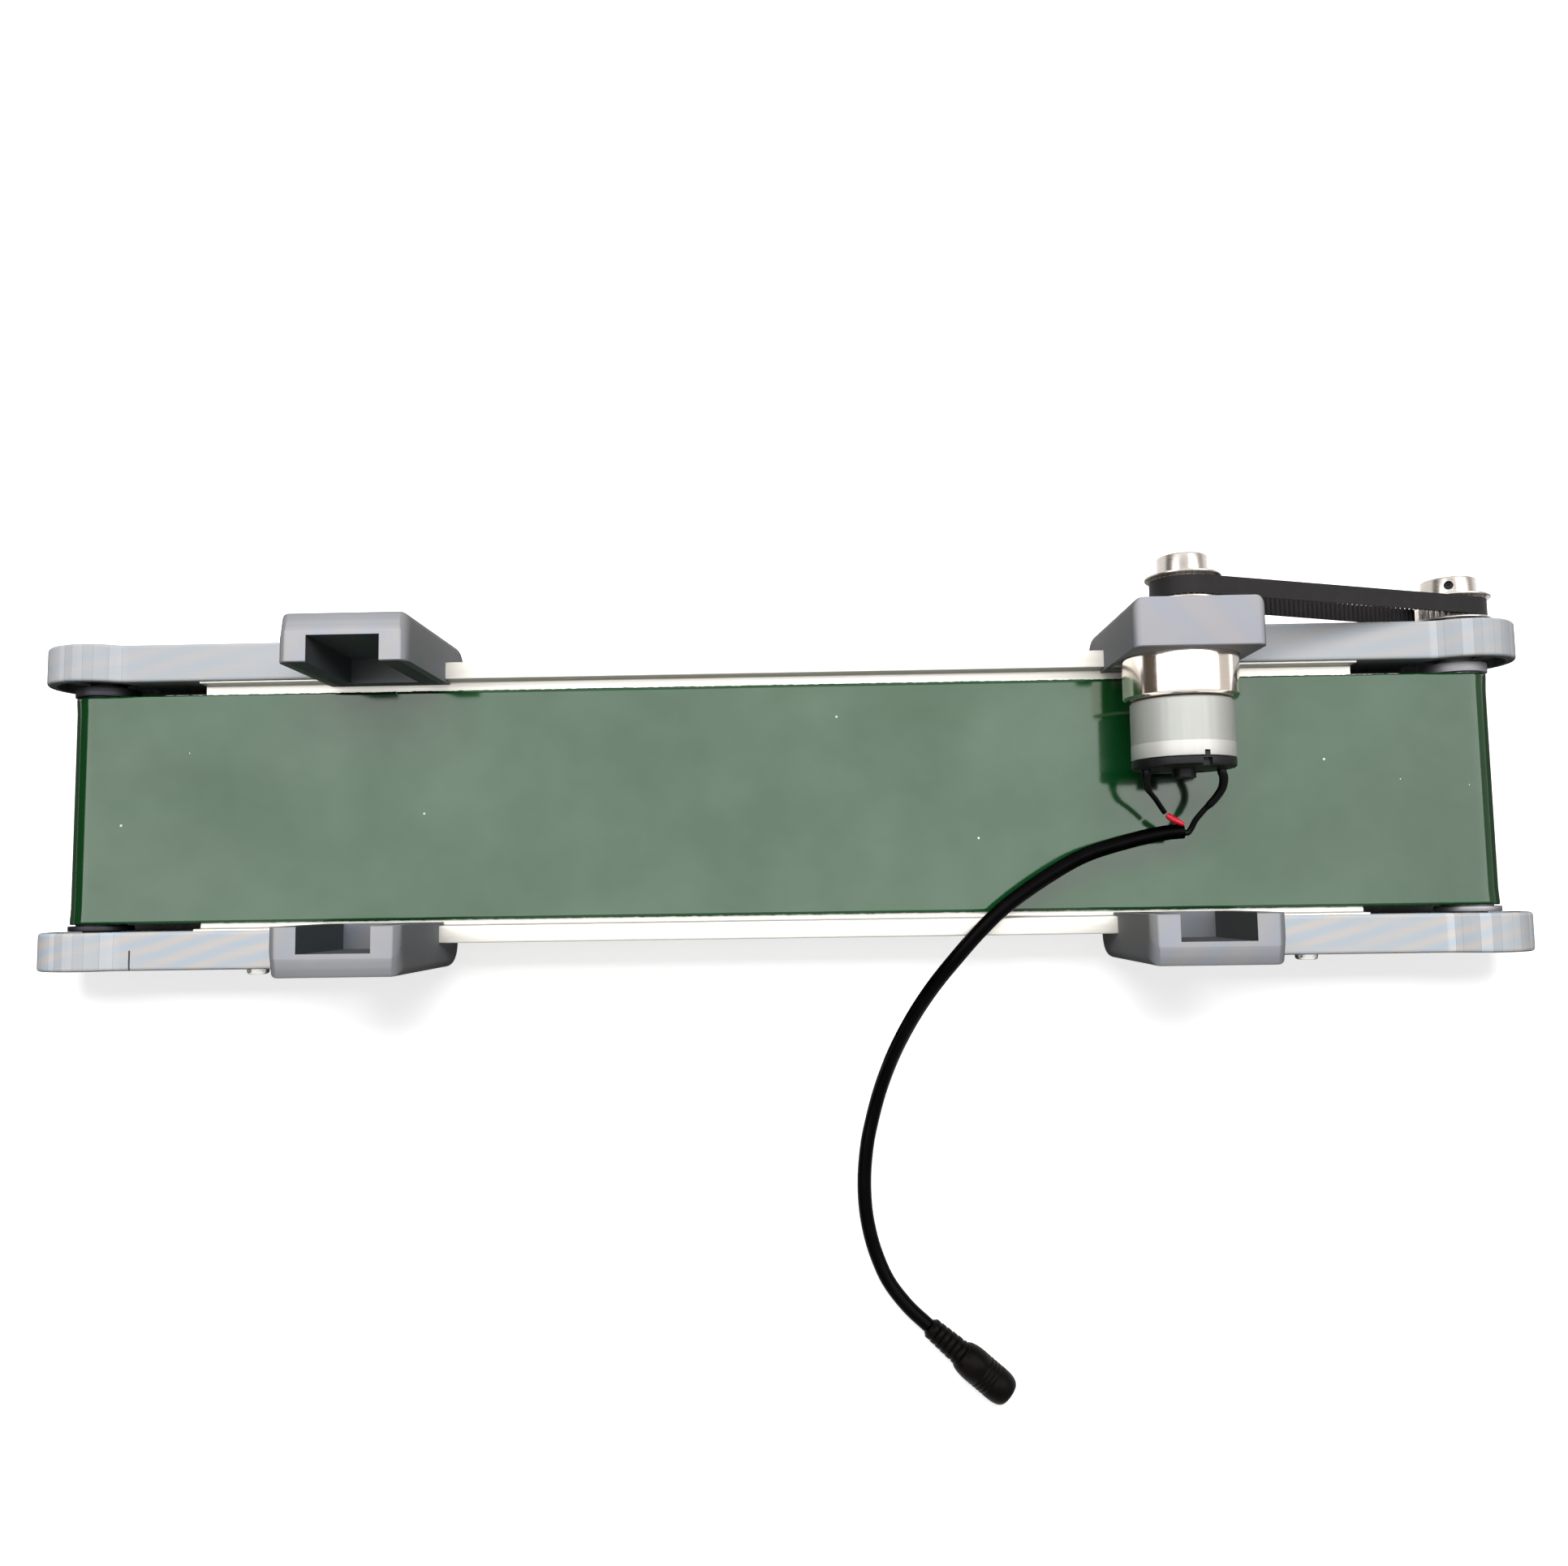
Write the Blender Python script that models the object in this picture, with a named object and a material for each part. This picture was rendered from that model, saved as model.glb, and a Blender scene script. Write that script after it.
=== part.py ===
import math

import bmesh
import bpy
from mathutils import Matrix, Vector

# Small belt conveyor. Lengths are in millimetres and mm turns them into metres.
# While a shape is built, x runs along the bed with the drive end at +x, y = 0 is the
# middle of the bed and z = 0 is the height of the roller axes.
mm = 0.001
clear = 0.3

# Bed extrusion and conveyor belt
bedLength = 400.0
bedHalf = 8.2
flangeRise = 5.5
flangeThick = 6.0
flangeMargin = 2.5
chamberWall = 1.6
chamberCount = 4
beltWidth = 80.0
beltThick = 1.5
beltShift = -0.75

# Rollers, shafts and ball bearings
rollerBeyond = 39.25
rollerCollarGap = 0.4
rollerCollarRise = 2.4
rollerHubRadius = 6.0
shaftRadius = 4.0
bearingRadius = 11.0
bearingWide = 7.0
innerRaceWall = 1.75
shaftStickOut = 0.5
shaftBevel = 0.4

# End plates
plateGap = 0.7
plateThick = 13.2
plateLip = 1.25
bossRadius = 19.5
armFillet = 10.0
recessDepth = 3.0
recessMargin = 3.0
lipHoleMargin = 3.0
armGrip = {"far": 44.0, "near": 42.6}
slitFromAxis = 18.25
slitWide = 0.6
slitDepth = 2.5
slitLength = 6.9

# Feet and motor bracket
footSetIn = {"far": 65.5, "near": 64.1}
footWide = 41.5
footTop = 56.0
footLip = 0.8
footWall = 8.5
footDrop = 9.5
footBevel = (5.8, 1.2)
footRound = 2.9
footBottomRound = 5.5
pocketWide = 23.3
pocketBack = 7.3
pocketFloor = 1.0
bracketRound = 3.2
bracketWall = 7.8
bracketBevel = (0.6, 0.6)

# Fasteners
plateScrewSetIn = (37.0, 17.0)
m4Shank = 1.7
m4Hole = 2.1
m4Head = 3.8
m4HeadTall = 2.0
m4Key = 1.44
m3Shank = 1.2
m3Hole = 1.6
m3Head = 2.7
m3HeadTall = 2.9
m3Key = 1.44
screwReach = 5.0
screwTipRoom = 0.4
counterbore = 3.3

# Gearmotor
motorOffset = -0.5
motorHeight = 33.0
gearboxRadius = 18.5
gearboxLength = 22.0
gearboxWall = 1.8
frontPlateThick = 2.5
canRadius = 16.5
canLength = 19.5
canWall = 1.3
capLength = 3.1
capWall = 1.6
capBossRadius = 3.75
capBossTall = 2.8
capNotchAt = 2.9
capNotchWide = 1.8
capNotchDeep = 1.1
shaftOffset = 7.0
outputRadius = 3.0
noseRadius = 6.0
noseLength = 5.8
motorScrewCircle = 15.5
motorScrewAngles = (30.0, 150.0, 270.0)
terminalSpread = 12.2
terminalWide = 2.4
terminalThick = 0.6
terminalOut = 0.6

# Gear train inside the gearbox
gearModule = 0.5
wheelTeeth = 26
pinionTeeth = 10
gearTip = 0.4
gearRoot = 0.62
wheelWide = 4.0
pinionReach = 5.0
stageGap = 1.6
pinRadius = 1.0
rotorRadius = 11.6
rotorStart = 4.2
rotorLength = 12.0
poleCount = 3
poleHalfAngle = 48.0
commutatorRadius = 3.4
commutatorLength = 3.0
brushHalf = 1.8
brushReach = 9.0
brushTall = 2.6
magnetThick = 2.1
magnetStart = 3.0
magnetEndRoom = 1.5

# Timing drive, 2 mm tooth pitch
toothPitch = 2.0
motorPulleyTeeth = 32
rollerPulleyTeeth = 36
pitchLine = 0.254
timingWide = 6.0
timingBack = 0.63
timingTooth = 0.75
pulleyFlangeRise = 2.1
pulleyFlangeThick = 1.0
pulleyHubLength = 6.5
motorHubRadius = 8.0
rollerHubRadiusDrive = 9.0
pulleyStandOff = 1.5
hubBevel = 0.6
driveShaftSetBack = 0.9
outputShaftSetBack = 2.4
setScrewRadius = 1.3
setScrewLength = 3.0
motorSetScrewTurn = 180.0
rollerSetScrewTurn = -25.0

# Wiring
leadRadius = 1.1
cableRadius = 2.5
plugAxis = (0.76, -0.65, 0.0)
reliefLength = 14.0
reliefRadius = 3.7
reliefRibs = 5
jackLength = 21.0
jackRadius = 6.0
jackBore = 2.8
jackBoreDepth = 9.5
jackPin = 1.0

# Positions that follow from the sizes above
bedEnd = bedLength / 2
rollerAt = bedEnd + rollerBeyond
rollerRadius = bedHalf
armStart = {name: bedEnd - grip for name, grip in armGrip.items()}
plateScrewAt = [bedEnd - inset for inset in plateScrewSetIn]
slitAt = rollerAt - slitFromAxis
footAt = {name: bedEnd - inset for name, inset in footSetIn.items()}
motorAt = footAt["far"] + motorOffset
flangeInner = beltWidth / 2 + flangeMargin
flangeOuter = flangeInner + flangeThick
flangeHalf = bedHalf + flangeRise
slotOuter = flangeOuter + clear
slotHalf = flangeHalf + clear
armHalf = slotHalf + plateLip
plateInner = flangeInner + plateGap
plateOuter = plateInner + plateThick
seatStart = plateInner + recessDepth
seatEnd = seatStart + bearingWide + clear
seatRadius = bearingRadius + clear
shaftEnd = seatStart + bearingWide + shaftStickOut
footInner = flangeInner - clear - footLip
footOuter = slotOuter + footWall
bracketBack = footOuter - bracketWall
pulleyStart = plateOuter + pulleyStandOff
grooveWide = timingWide + 1.0
pulleyEnd = pulleyStart + 2 * pulleyFlangeThick + grooveWide + pulleyHubLength
driveShaftEnd = pulleyEnd - driveShaftSetBack
outputHeight = motorHeight + shaftOffset
frontPlateFace = bracketBack - clear
frontPlateBack = frontPlateFace - frontPlateThick
gearboxBack = bracketBack - gearboxLength
canBack = gearboxBack - canLength
capBack = canBack - capLength
nearReach = max(plateOuter + clear + m4HeadTall, footOuter)
middle = (pulleyEnd - nearReach) / 2
datum = Vector((0, -middle, bossRadius))

# Finishes: colour, roughness, metallic
finishes = {
    "printed": ((0.43, 0.46, 0.51), 0.5, 0.0),
    "aluminium": ((0.80, 0.80, 0.80), 0.35, 1.0),
    "machined": ((0.78, 0.77, 0.76), 0.25, 1.0),
    "steel": ((0.60, 0.60, 0.60), 0.25, 1.0),
    "nickel": ((0.75, 0.72, 0.68), 0.12, 1.0),
    "satinSteel": ((0.62, 0.63, 0.63), 0.45, 0.8),
    "blackSteel": ((0.03, 0.03, 0.03), 0.4, 0.8),
    "blackPlastic": ((0.02, 0.02, 0.02), 0.45, 0.0),
    "magnet": ((0.08, 0.08, 0.08), 0.6, 0.2),
    "copper": ((0.60, 0.30, 0.16), 0.4, 0.9),
    "tinned": ((0.70, 0.70, 0.68), 0.35, 1.0),
    "belt": ((0.03, 0.14, 0.05), 0.25, 0.0),
    "rubber": ((0.02, 0.02, 0.02), 0.6, 0.0),
    "wireBlack": ((0.02, 0.02, 0.02), 0.4, 0.0),
    "wireRed": ((0.60, 0.02, 0.04), 0.4, 0.0),
    "cableBlack": ((0.015, 0.015, 0.015), 0.4, 0.0),
}

# Far side is +y and carries the timing drive; the near side is -y.
sides = {"far": 1, "near": -1}
ends = {"drive": 1, "tail": -1}


def clearScene():
    for old in list(bpy.data.objects):
        bpy.data.objects.remove(old)


def material(name, finish):
    colour, roughness, metallic = finishes[finish]
    made = bpy.data.materials.new(name)
    made.use_nodes = True
    shader = made.node_tree.nodes["Principled BSDF"]
    shader.inputs["Base Color"].default_value = (*colour, 1)
    shader.inputs["Roughness"].default_value = roughness
    shader.inputs["Metallic"].default_value = metallic
    return made


def spot(u, v, w, axis):
    return {"x": (w, u, v), "y": (u, w, v), "z": (u, v, w)}[axis]


def prism(outline, low, high, axis="y", holes=()):
    # A flat outline, with holes, pushed from low to high along the axis.
    shape = bmesh.new()
    edges = []
    for loop in (outline, *holes):
        corners = [shape.verts.new(spot(u, v, low, axis)) for u, v in loop]
        edges += [shape.edges.new((corners[i - 1], corners[i])) for i in range(len(corners))]
    bmesh.ops.triangle_fill(shape, use_beauty=True, use_dissolve=False, edges=edges)
    grown = bmesh.ops.extrude_face_region(shape, geom=shape.faces[:])["geom"]
    lifted = [item for item in grown if isinstance(item, bmesh.types.BMVert)]
    bmesh.ops.translate(shape, verts=lifted, vec=spot(0, 0, high - low, axis))
    return shape


def box(x, y, z):
    return prism([(x[0], y[0]), (x[1], y[0]), (x[1], y[1]), (x[0], y[1])], z[0], z[1], "z")


def turned(profile, steps, centre=(0.0, 0.0), ring=False):
    # (radius, y) pairs turned about the y axis through centre (x, z). A third value of
    # True makes that circle a hexagon, which needs twelve steps.
    shape = bmesh.new()
    loops = []
    for radius, y, *hexagon in profile:
        if radius == 0:
            loops.append([shape.verts.new((centre[0], y, centre[1]))])
            continue
        circle = []
        for i in range(steps):
            angle = 2 * math.pi * i / steps
            reach = radius * (math.cos(math.pi / 6) if hexagon and i % 2 else 1)
            circle.append(shape.verts.new((centre[0] + reach * math.cos(angle), y,
                                           centre[1] + reach * math.sin(angle))))
        loops.append(circle)
    pairs = list(zip(loops, loops[1:]))
    if ring:
        pairs.append((loops[-1], loops[0]))
    for first, second in pairs:
        for i in range(steps):
            j = (i + 1) % steps
            corners = [first[i % len(first)], first[j % len(first)],
                       second[j % len(second)], second[i % len(second)]]
            shape.faces.new(list(dict.fromkeys(corners)))
    return shape


def drum(radius, low, high, steps=24, centre=(0.0, 0.0)):
    return turned([(0, low), (radius, low), (radius, high), (0, high)], steps, centre)


def tubeRing(inner, outer, low, high, steps=24, centre=(0.0, 0.0)):
    return turned([(inner, low), (outer, low), (outer, high), (inner, high)], steps, centre, True)


def loft(rings):
    # Rings of equal length joined in order, with both ends filled.
    shape = bmesh.new()
    rows = [[shape.verts.new(point) for point in ring] for ring in rings]
    for first, second in zip(rows, rows[1:]):
        for i in range(len(first)):
            shape.faces.new((first[i - 1], first[i], second[i], second[i - 1]))
    for row in (rows[0], rows[-1]):
        caps = [shape.edges.get((row[i - 1], row[i])) for i in range(len(row))]
        bmesh.ops.triangle_fill(shape, use_beauty=True, use_dissolve=False, edges=caps)
    return shape


def merged(*shapes):
    # Shapes that don't touch, kept in one mesh so that one Boolean cuts them all.
    whole = shapes[0]
    for other in shapes[1:]:
        held = bpy.data.meshes.new("held")
        other.to_mesh(held)
        whole.from_mesh(held)
        bpy.data.meshes.remove(held)
    return whole


def meshObject(name, shape, origin=(0.0, 0.0, 0.0)):
    bmesh.ops.recalc_face_normals(shape, faces=shape.faces[:])
    shape.transform(Matrix.Scale(mm, 4) @ Matrix.Translation(-Vector(origin)))
    mesh = bpy.data.meshes.new(name)
    shape.to_mesh(mesh)
    shape.free()
    thing = bpy.data.objects.new(name, mesh)
    thing.location = (Vector(origin) + datum) * mm
    bpy.context.scene.collection.objects.link(thing)
    return thing


def piece(name, shape, finish, cuts=(), joins=(), origin=(0.0, 0.0, 0.0)):
    thing = meshObject(name, shape, origin)
    for kind, helpers in (("UNION", joins), ("DIFFERENCE", cuts)):
        for count, helper in enumerate(helpers, 1):
            tool = meshObject(f"{name}_{kind.lower()}_{count}", helper)
            tool.hide_render = True
            tool.display_type = "WIRE"
            step = thing.modifiers.new(f"{kind.title()} {count}", "BOOLEAN")
            step.operation = kind
            step.solver = "EXACT"
            step.object = tool
    thing.data.shade_smooth()
    thing.data.set_sharp_from_angle(angle=math.radians(35))
    thing.data.materials.append(material(name, finish))
    return thing


def arc(centre, radius, start, end, steps):
    turns = [math.radians(start + (end - start) * i / steps) for i in range(steps + 1)]
    return [(centre[0] + radius * math.cos(t), centre[1] + radius * math.sin(t)) for t in turns]


def smoothRoute(route, step):
    # Even points along a Catmull-Rom curve through the route.
    knots = [Vector(point) for point in route]
    knots = [2 * knots[0] - knots[1], *knots, 2 * knots[-1] - knots[-2]]
    fine = []
    for a, b, c, d in zip(knots, knots[1:], knots[2:], knots[3:]):
        for i in range(24):
            t = i / 24
            fine.append(0.5 * (2 * b + (c - a) * t + (2 * a - 5 * b + 4 * c - d) * t ** 2
                               + (3 * b - a - 3 * c + d) * t ** 3))
    fine.append(knots[-2])
    travelled = [0.0]
    for a, b in zip(fine, fine[1:]):
        travelled.append(travelled[-1] + (b - a).length)
    count = max(2, round(travelled[-1] / step))
    points = []
    k = 0
    for i in range(count + 1):
        target = travelled[-1] * i / count
        while k < len(fine) - 2 and travelled[k + 1] < target:
            k += 1
        part = (target - travelled[k]) / (travelled[k + 1] - travelled[k])
        points.append(fine[k].lerp(fine[k + 1], part))
    return points


def cord(name, route, origin, radius, step, resolution, finish):
    curve = bpy.data.curves.new(name, "CURVE")
    curve.dimensions = "3D"
    curve.bevel_depth = radius * mm
    curve.bevel_resolution = resolution
    curve.render_resolution_u = 0
    curve.use_fill_caps = True
    points = smoothRoute(route, step)
    line = curve.splines.new("POLY")
    line.points.add(len(points) - 1)
    for knot, point in zip(line.points, points):
        knot.co = (*(point * mm), 1)
    thing = bpy.data.objects.new(name, curve)
    thing.location = (origin + datum) * mm
    curve.materials.append(material(name, finish))
    bpy.context.scene.collection.objects.link(thing)
    return thing


def screw(name, x, z, side, seat, tip, head, tall, shank, key, finish):
    # A socket screw whose head rests at y = seat and points outwards.
    rim = 0.72 * head if tall < head else 0.94 * head
    profile = [(0, tip), (shank, tip), (shank, seat), (head, seat), (head, seat + 0.5 * tall),
               (rim, seat + tall), (key, seat + tall, True), (key, seat + 0.45 * tall, True),
               (0, seat + 0.45 * tall)]
    turnedProfile = [(row[0], side * row[1], *row[2:]) for row in profile]
    return piece(name, turned(turnedProfile, 12, (x, z)), finish)


def stepBore(side, x, z, stages, steps=12):
    # A stepped round cutter: stages are (radius, from y, to y), each wider or narrower.
    profile = [(0, side * stages[0][1])]
    for radius, low, high in stages:
        profile += [(radius, side * low), (radius, side * high)]
    profile.append((0, side * stages[-1][2]))
    return turned(profile, steps, (x, z))


def gearOutline(teeth, centre, phase):
    pitch = gearModule * teeth / 2
    step = 2 * math.pi / teeth
    flank = ((-0.29, -gearRoot), (-0.13, gearTip), (0.13, gearTip), (0.29, -gearRoot))
    points = []
    for tooth in range(teeth):
        for part, height in flank:
            turn = phase + (tooth + part) * step
            points.append((centre[0] + (pitch + height) * math.cos(turn),
                           centre[1] + (pitch + height) * math.sin(turn)))
    return points


def makeBed():
    web = flangeInner
    half = bedHalf
    bevel = 0.4
    outline = []
    for y, z in ((1, 1), (-1, 1), (-1, -1), (1, -1)):
        corner = [(y * web, z * half), (y * web, z * (flangeHalf - bevel)),
                  (y * (web + bevel), z * flangeHalf), (y * (flangeOuter - bevel), z * flangeHalf),
                  (y * flangeOuter, z * (flangeHalf - bevel))]
        outline += corner[::-1] if y * z > 0 else corner
    chamberSpan = (2 * web - chamberWall * (chamberCount + 1)) / chamberCount
    chambers = []
    for i in range(chamberCount):
        left = -web + chamberWall + i * (chamberSpan + chamberWall)
        right = left + chamberSpan
        top = half - chamberWall
        chambers.append([(left, -top), (right, -top), (right, top), (left, top)])
    drillings = []
    for end in ends.values():
        for sideName, side in sides.items():
            for x in (*plateScrewAt, footAt[sideName]):
                drillings.append(stepBore(side, end * x, 0, [
                    (m4Hole, flangeOuter - screwReach - screwTipRoom, flangeOuter + 1)]))
    piece("conveyor_profile", prism(outline, -bedEnd, bedEnd, "x", chambers), "aluminium",
          cuts=[merged(*drillings)])


def makeEndPlate(endName, sideName):
    end, side = ends[endName], sides[sideName]
    reach = bossRadius + armFillet
    rise = armHalf + armFillet
    filletX = rollerAt - math.sqrt(reach ** 2 - rise ** 2)
    lean = math.degrees(math.asin(rise / reach))
    upper = [(armStart[sideName], armHalf)]
    upper += arc((filletX, rise), armFillet, 270, 360 - lean, 5)
    upper += arc((rollerAt, 0), bossRadius, 180 - lean, 0, 16)[1:]
    lower = [(x, -z) for x, z in upper[-2::-1]]
    outline = [(end * x, z) for x, z in upper + lower]
    low, high = sorted((side * plateInner, side * plateOuter))
    slotY = sorted((side * (plateInner - 1), side * slotOuter))
    slotX = sorted((end * (armStart[sideName] - 1), end * (bedEnd + clear)))
    slot = box(slotX, slotY, (-slotHalf, slotHalf))
    bore = stepBore(side, end * rollerAt, 0, [
        (bossRadius - recessMargin, plateInner - 1, seatStart), (seatRadius, seatStart, seatEnd),
        (shaftRadius + lipHoleMargin, seatEnd, plateOuter + 1)], 24)
    drillings = [stepBore(side, end * x, 0, [(m4Hole, slotOuter - 1, plateOuter + 1)])
                 for x in plateScrewAt]
    if endName == "tail" and sideName == "near":
        slitY = sorted((side * (plateOuter - slitLength), side * (plateOuter + 1)))
        slitX = (-slitAt - slitWide / 2, -slitAt + slitWide / 2)
        drillings.append(box(slitX, slitY, (armHalf - slitDepth, armHalf + 2)))
    piece(f"{endName}_plate_{sideName}", prism(outline, low, high), "printed",
          cuts=[merged(slot, bore), merged(*drillings)])
    for count, x in enumerate(plateScrewAt, 1):
        screw(f"{endName}_plate_{sideName}_screw_{count}", end * x, 0, side, plateOuter + clear,
              flangeOuter - screwReach, m4Head, m4HeadTall, m4Shank, m4Key, "steel")


def footRing(x, inset, side, bevel):
    # Cross-section across the conveyor at x, drawn in by inset on its outer and top faces.
    # bevel gives the width and depth of the slope along the outer top edge.
    outer = footOuter - inset
    top = footTop - inset
    slopeWide, slopeDeep = (size + inset * 0.4 for size in bevel)
    ceiling = slotHalf
    points = [(footInner, top), (footInner, bedHalf + clear), (footInner + footLip, bedHalf + clear),
              (footInner + footLip, ceiling), (slotOuter, ceiling), (slotOuter, -footDrop)]
    fillet = footBottomRound
    points += arc((outer - fillet, -footDrop + fillet), fillet, -90, 0, 4)
    points += [(outer, top - slopeDeep), (outer - slopeWide, top)]
    return [(x, side * y, z) for y, z in points]


def footBody(centre, side, roundness, bevel):
    # The faces at each end in x draw in along a quarter circle, which rounds those edges.
    half = footWide / 2
    quarter = [math.pi / 2 * i / 4 for i in range(5)]
    stations = [(half - roundness * (1 - math.sin(t)), roundness * (1 - math.cos(t)))
                for t in quarter]
    spread = [(centre - reach, inset) for reach, inset in stations[::-1]]
    spread += [(centre + reach, inset) for reach, inset in stations]
    return loft([footRing(x, inset, side, bevel) for x, inset in spread])


def flangeScrew(name, x, side):
    # A screw sunk in the outer wall of a foot, and the stepped hole it sits in.
    floor = footOuter - counterbore
    screw(f"{name}_screw", x, 0, side, floor + clear, flangeOuter - screwReach,
          m4Head, m4HeadTall, m4Shank, m4Key, "blackSteel")
    return stepBore(side, x, 0, [(m4Hole, slotOuter - 1, floor),
                                 (m4Head + 2 * clear, floor, footOuter + 1)])


def makeFoot(endName, sideName):
    side = sides[sideName]
    centre = ends[endName] * footAt[sideName]
    pocketX = (centre - pocketWide / 2, centre + pocketWide / 2)
    pocketY = sorted((side * (footInner - 1), side * (footOuter - pocketBack)))
    pocket = box(pocketX, pocketY, (slotHalf + pocketFloor, footTop + 1))
    name = f"{endName}_foot_{sideName}"
    piece(name, footBody(centre, side, footRound, footBevel), "printed",
          cuts=[pocket, flangeScrew(name, centre, side)])


def makeBracket():
    radius = gearboxRadius + clear
    hollow = arc((motorAt, motorHeight), radius, 0, 180, 24)
    hollow += [(motorAt - radius, slotHalf - 2), (motorAt + radius, slotHalf - 2)]
    floor = footOuter - counterbore
    drillings = [stepBore(1, motorAt, outputHeight,
                          [(noseRadius + 0.5, bracketBack - 1, footOuter + 1)], 24),
                 flangeScrew("motor_bracket", footAt["far"], 1)]
    for count, angle in enumerate(motorScrewAngles, 1):
        x = motorAt + motorScrewCircle * math.cos(math.radians(angle))
        z = motorHeight + motorScrewCircle * math.sin(math.radians(angle))
        drillings.append(stepBore(1, x, z, [(m3Hole, bracketBack - 1, floor),
                                            (m3Head + clear, floor, footOuter + 1)]))
        screw(f"motor_screw_{count}", x, z, 1, floor + clear, frontPlateBack + 0.4,
              m3Head, m3HeadTall, m3Shank, m3Key, "blackSteel")
    piece("motor_bracket", footBody(footAt["far"], 1, bracketRound, bracketBevel), "printed",
          cuts=[prism(hollow, footInner - 1, bracketBack), merged(*drillings)])


def makeRoller(endName):
    at = (ends[endName] * rollerAt, 0.0, 0.0)
    low = beltShift - beltWidth / 2 - rollerCollarGap
    high = beltShift + beltWidth / 2 + rollerCollarGap
    shoulder = plateInner - clear
    hub = seatStart - clear
    bore = shaftRadius + clear
    wide = rollerRadius + rollerCollarRise
    profile = [(bore, -hub), (rollerHubRadius, -hub), (rollerHubRadius, -shoulder),
               (wide, -shoulder), (wide, low), (rollerRadius, low), (rollerRadius, high),
               (wide, high), (wide, shoulder), (rollerHubRadius, shoulder),
               (rollerHubRadius, hub), (bore, hub)]
    piece(f"{endName}_roller", turned(profile, 24, (at[0], 0), ring=True), "machined", origin=at)
    far = driveShaftEnd if endName == "drive" else shaftEnd
    bevel = shaftBevel
    profile = [(0, -shaftEnd), (shaftRadius - bevel, -shaftEnd), (shaftRadius, -shaftEnd + bevel),
               (shaftRadius, far - bevel), (shaftRadius - bevel, far), (0, far)]
    piece(f"{endName}_shaft", turned(profile, 20, (at[0], 0)), "steel", origin=at)
    inner = shaftRadius + clear + innerRaceWall
    for sideName, side in sides.items():
        low, high = sorted((side * seatStart, side * (seatStart + bearingWide)))
        piece(f"{endName}_bearing_outer_{sideName}",
              tubeRing(inner + clear, bearingRadius, low, high, 20, (at[0], 0)), "steel")
        piece(f"{endName}_bearing_inner_{sideName}",
              tubeRing(bore, inner, low, high, 16, (at[0], 0)), "steel", origin=at)


def loopAround(first, second, growth, steps):
    # Closed outline around two circles (x, z, radius), grown outwards by growth.
    along = math.atan2(second[1] - first[1], second[0] - first[0])
    apart = math.hypot(second[0] - first[0], second[1] - first[1])
    opening = math.acos((first[2] - second[2]) / apart)
    start, finish = math.degrees(along - opening), math.degrees(along + opening)
    outline = arc(second[:2], second[2] + growth, start, finish, steps)
    outline += arc(first[:2], first[2] + growth, finish, start + 360, steps)
    return outline


def makeBelt():
    drive, tail = (rollerAt, 0.0, rollerRadius), (-rollerAt, 0.0, rollerRadius)
    low = beltShift - beltWidth / 2
    outer = loopAround(tail, drive, clear + beltThick, 18)
    inner = loopAround(tail, drive, clear, 18)
    piece("conveyor_belt", prism(outer, low, low + beltWidth, holes=[inner]), "belt")


def pulleyRadius(teeth):
    return toothPitch * teeth / (2 * math.pi) - pitchLine


def makePulley(name, at, teeth, shaft, hub, turn):
    # turn is the set screw's angle about the shaft, from straight up.
    outside = pulleyRadius(teeth)
    root = outside - timingTooth - clear
    rim = outside + pulleyFlangeRise
    bore = shaft + clear
    near = pulleyStart
    groove = near + pulleyFlangeThick
    far = groove + grooveWide
    hubStart = far + pulleyFlangeThick
    bevel = hubBevel
    profile = [(bore, near), (rim - 0.3, near), (rim, near + 0.5), (outside, groove),
               (root, groove), (root, far), (outside, far), (rim, hubStart - 0.5),
               (rim - 0.3, hubStart), (hub, hubStart), (hub, pulleyEnd - bevel),
               (hub - bevel, pulleyEnd), (bore, pulleyEnd)]
    middleY = (hubStart + pulleyEnd) / 2
    start, length = shaft + clear, setScrewLength

    def radial(radius, low, high):
        rod = prism(arc((0, middleY), radius, 0, 330, 11), low, high, "z")
        rod.transform(Matrix.Translation((at[0], 0, at[2]))
                      @ Matrix.Rotation(math.radians(turn), 4, "Y"))
        rod.normal_update()
        return rod

    piece(name, turned(profile, 28, (at[0], at[2]), ring=True), "machined", origin=at,
          cuts=[radial(setScrewRadius + clear, shaft / 2, hub + 2)])
    piece(f"{name}_set_screw", radial(setScrewRadius, start, start + length),
          "blackSteel", origin=at)


def makeTimingDrive():
    motorAxis = (motorAt, 0.0, outputHeight)
    rollerAxis = (rollerAt, 0.0, 0.0)
    makePulley("motor_pulley", motorAxis, motorPulleyTeeth, outputRadius, motorHubRadius,
               motorSetScrewTurn)
    makePulley("roller_pulley", rollerAxis, rollerPulleyTeeth, shaftRadius,
               rollerHubRadiusDrive, rollerSetScrewTurn)
    first = (motorAt, outputHeight, pulleyRadius(motorPulleyTeeth))
    second = (rollerAt, 0.0, pulleyRadius(rollerPulleyTeeth))
    low = pulleyStart + pulleyFlangeThick + (grooveWide - timingWide) / 2
    piece("timing_belt", prism(loopAround(first, second, timingBack, 20), low, low + timingWide,
                               holes=[loopAround(first, second, -timingTooth, 20)]), "rubber")


def gearCentres():
    # Motor, lay and output gear axes: three equal centre distances of a 2-stage train.
    apart = gearModule * (wheelTeeth + pinionTeeth) / 2
    rise = shaftOffset / 2
    lay = (motorAt + math.sqrt(apart ** 2 - rise ** 2), motorHeight + rise)
    return (motorAt, motorHeight), lay, (motorAt, outputHeight)


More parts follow.
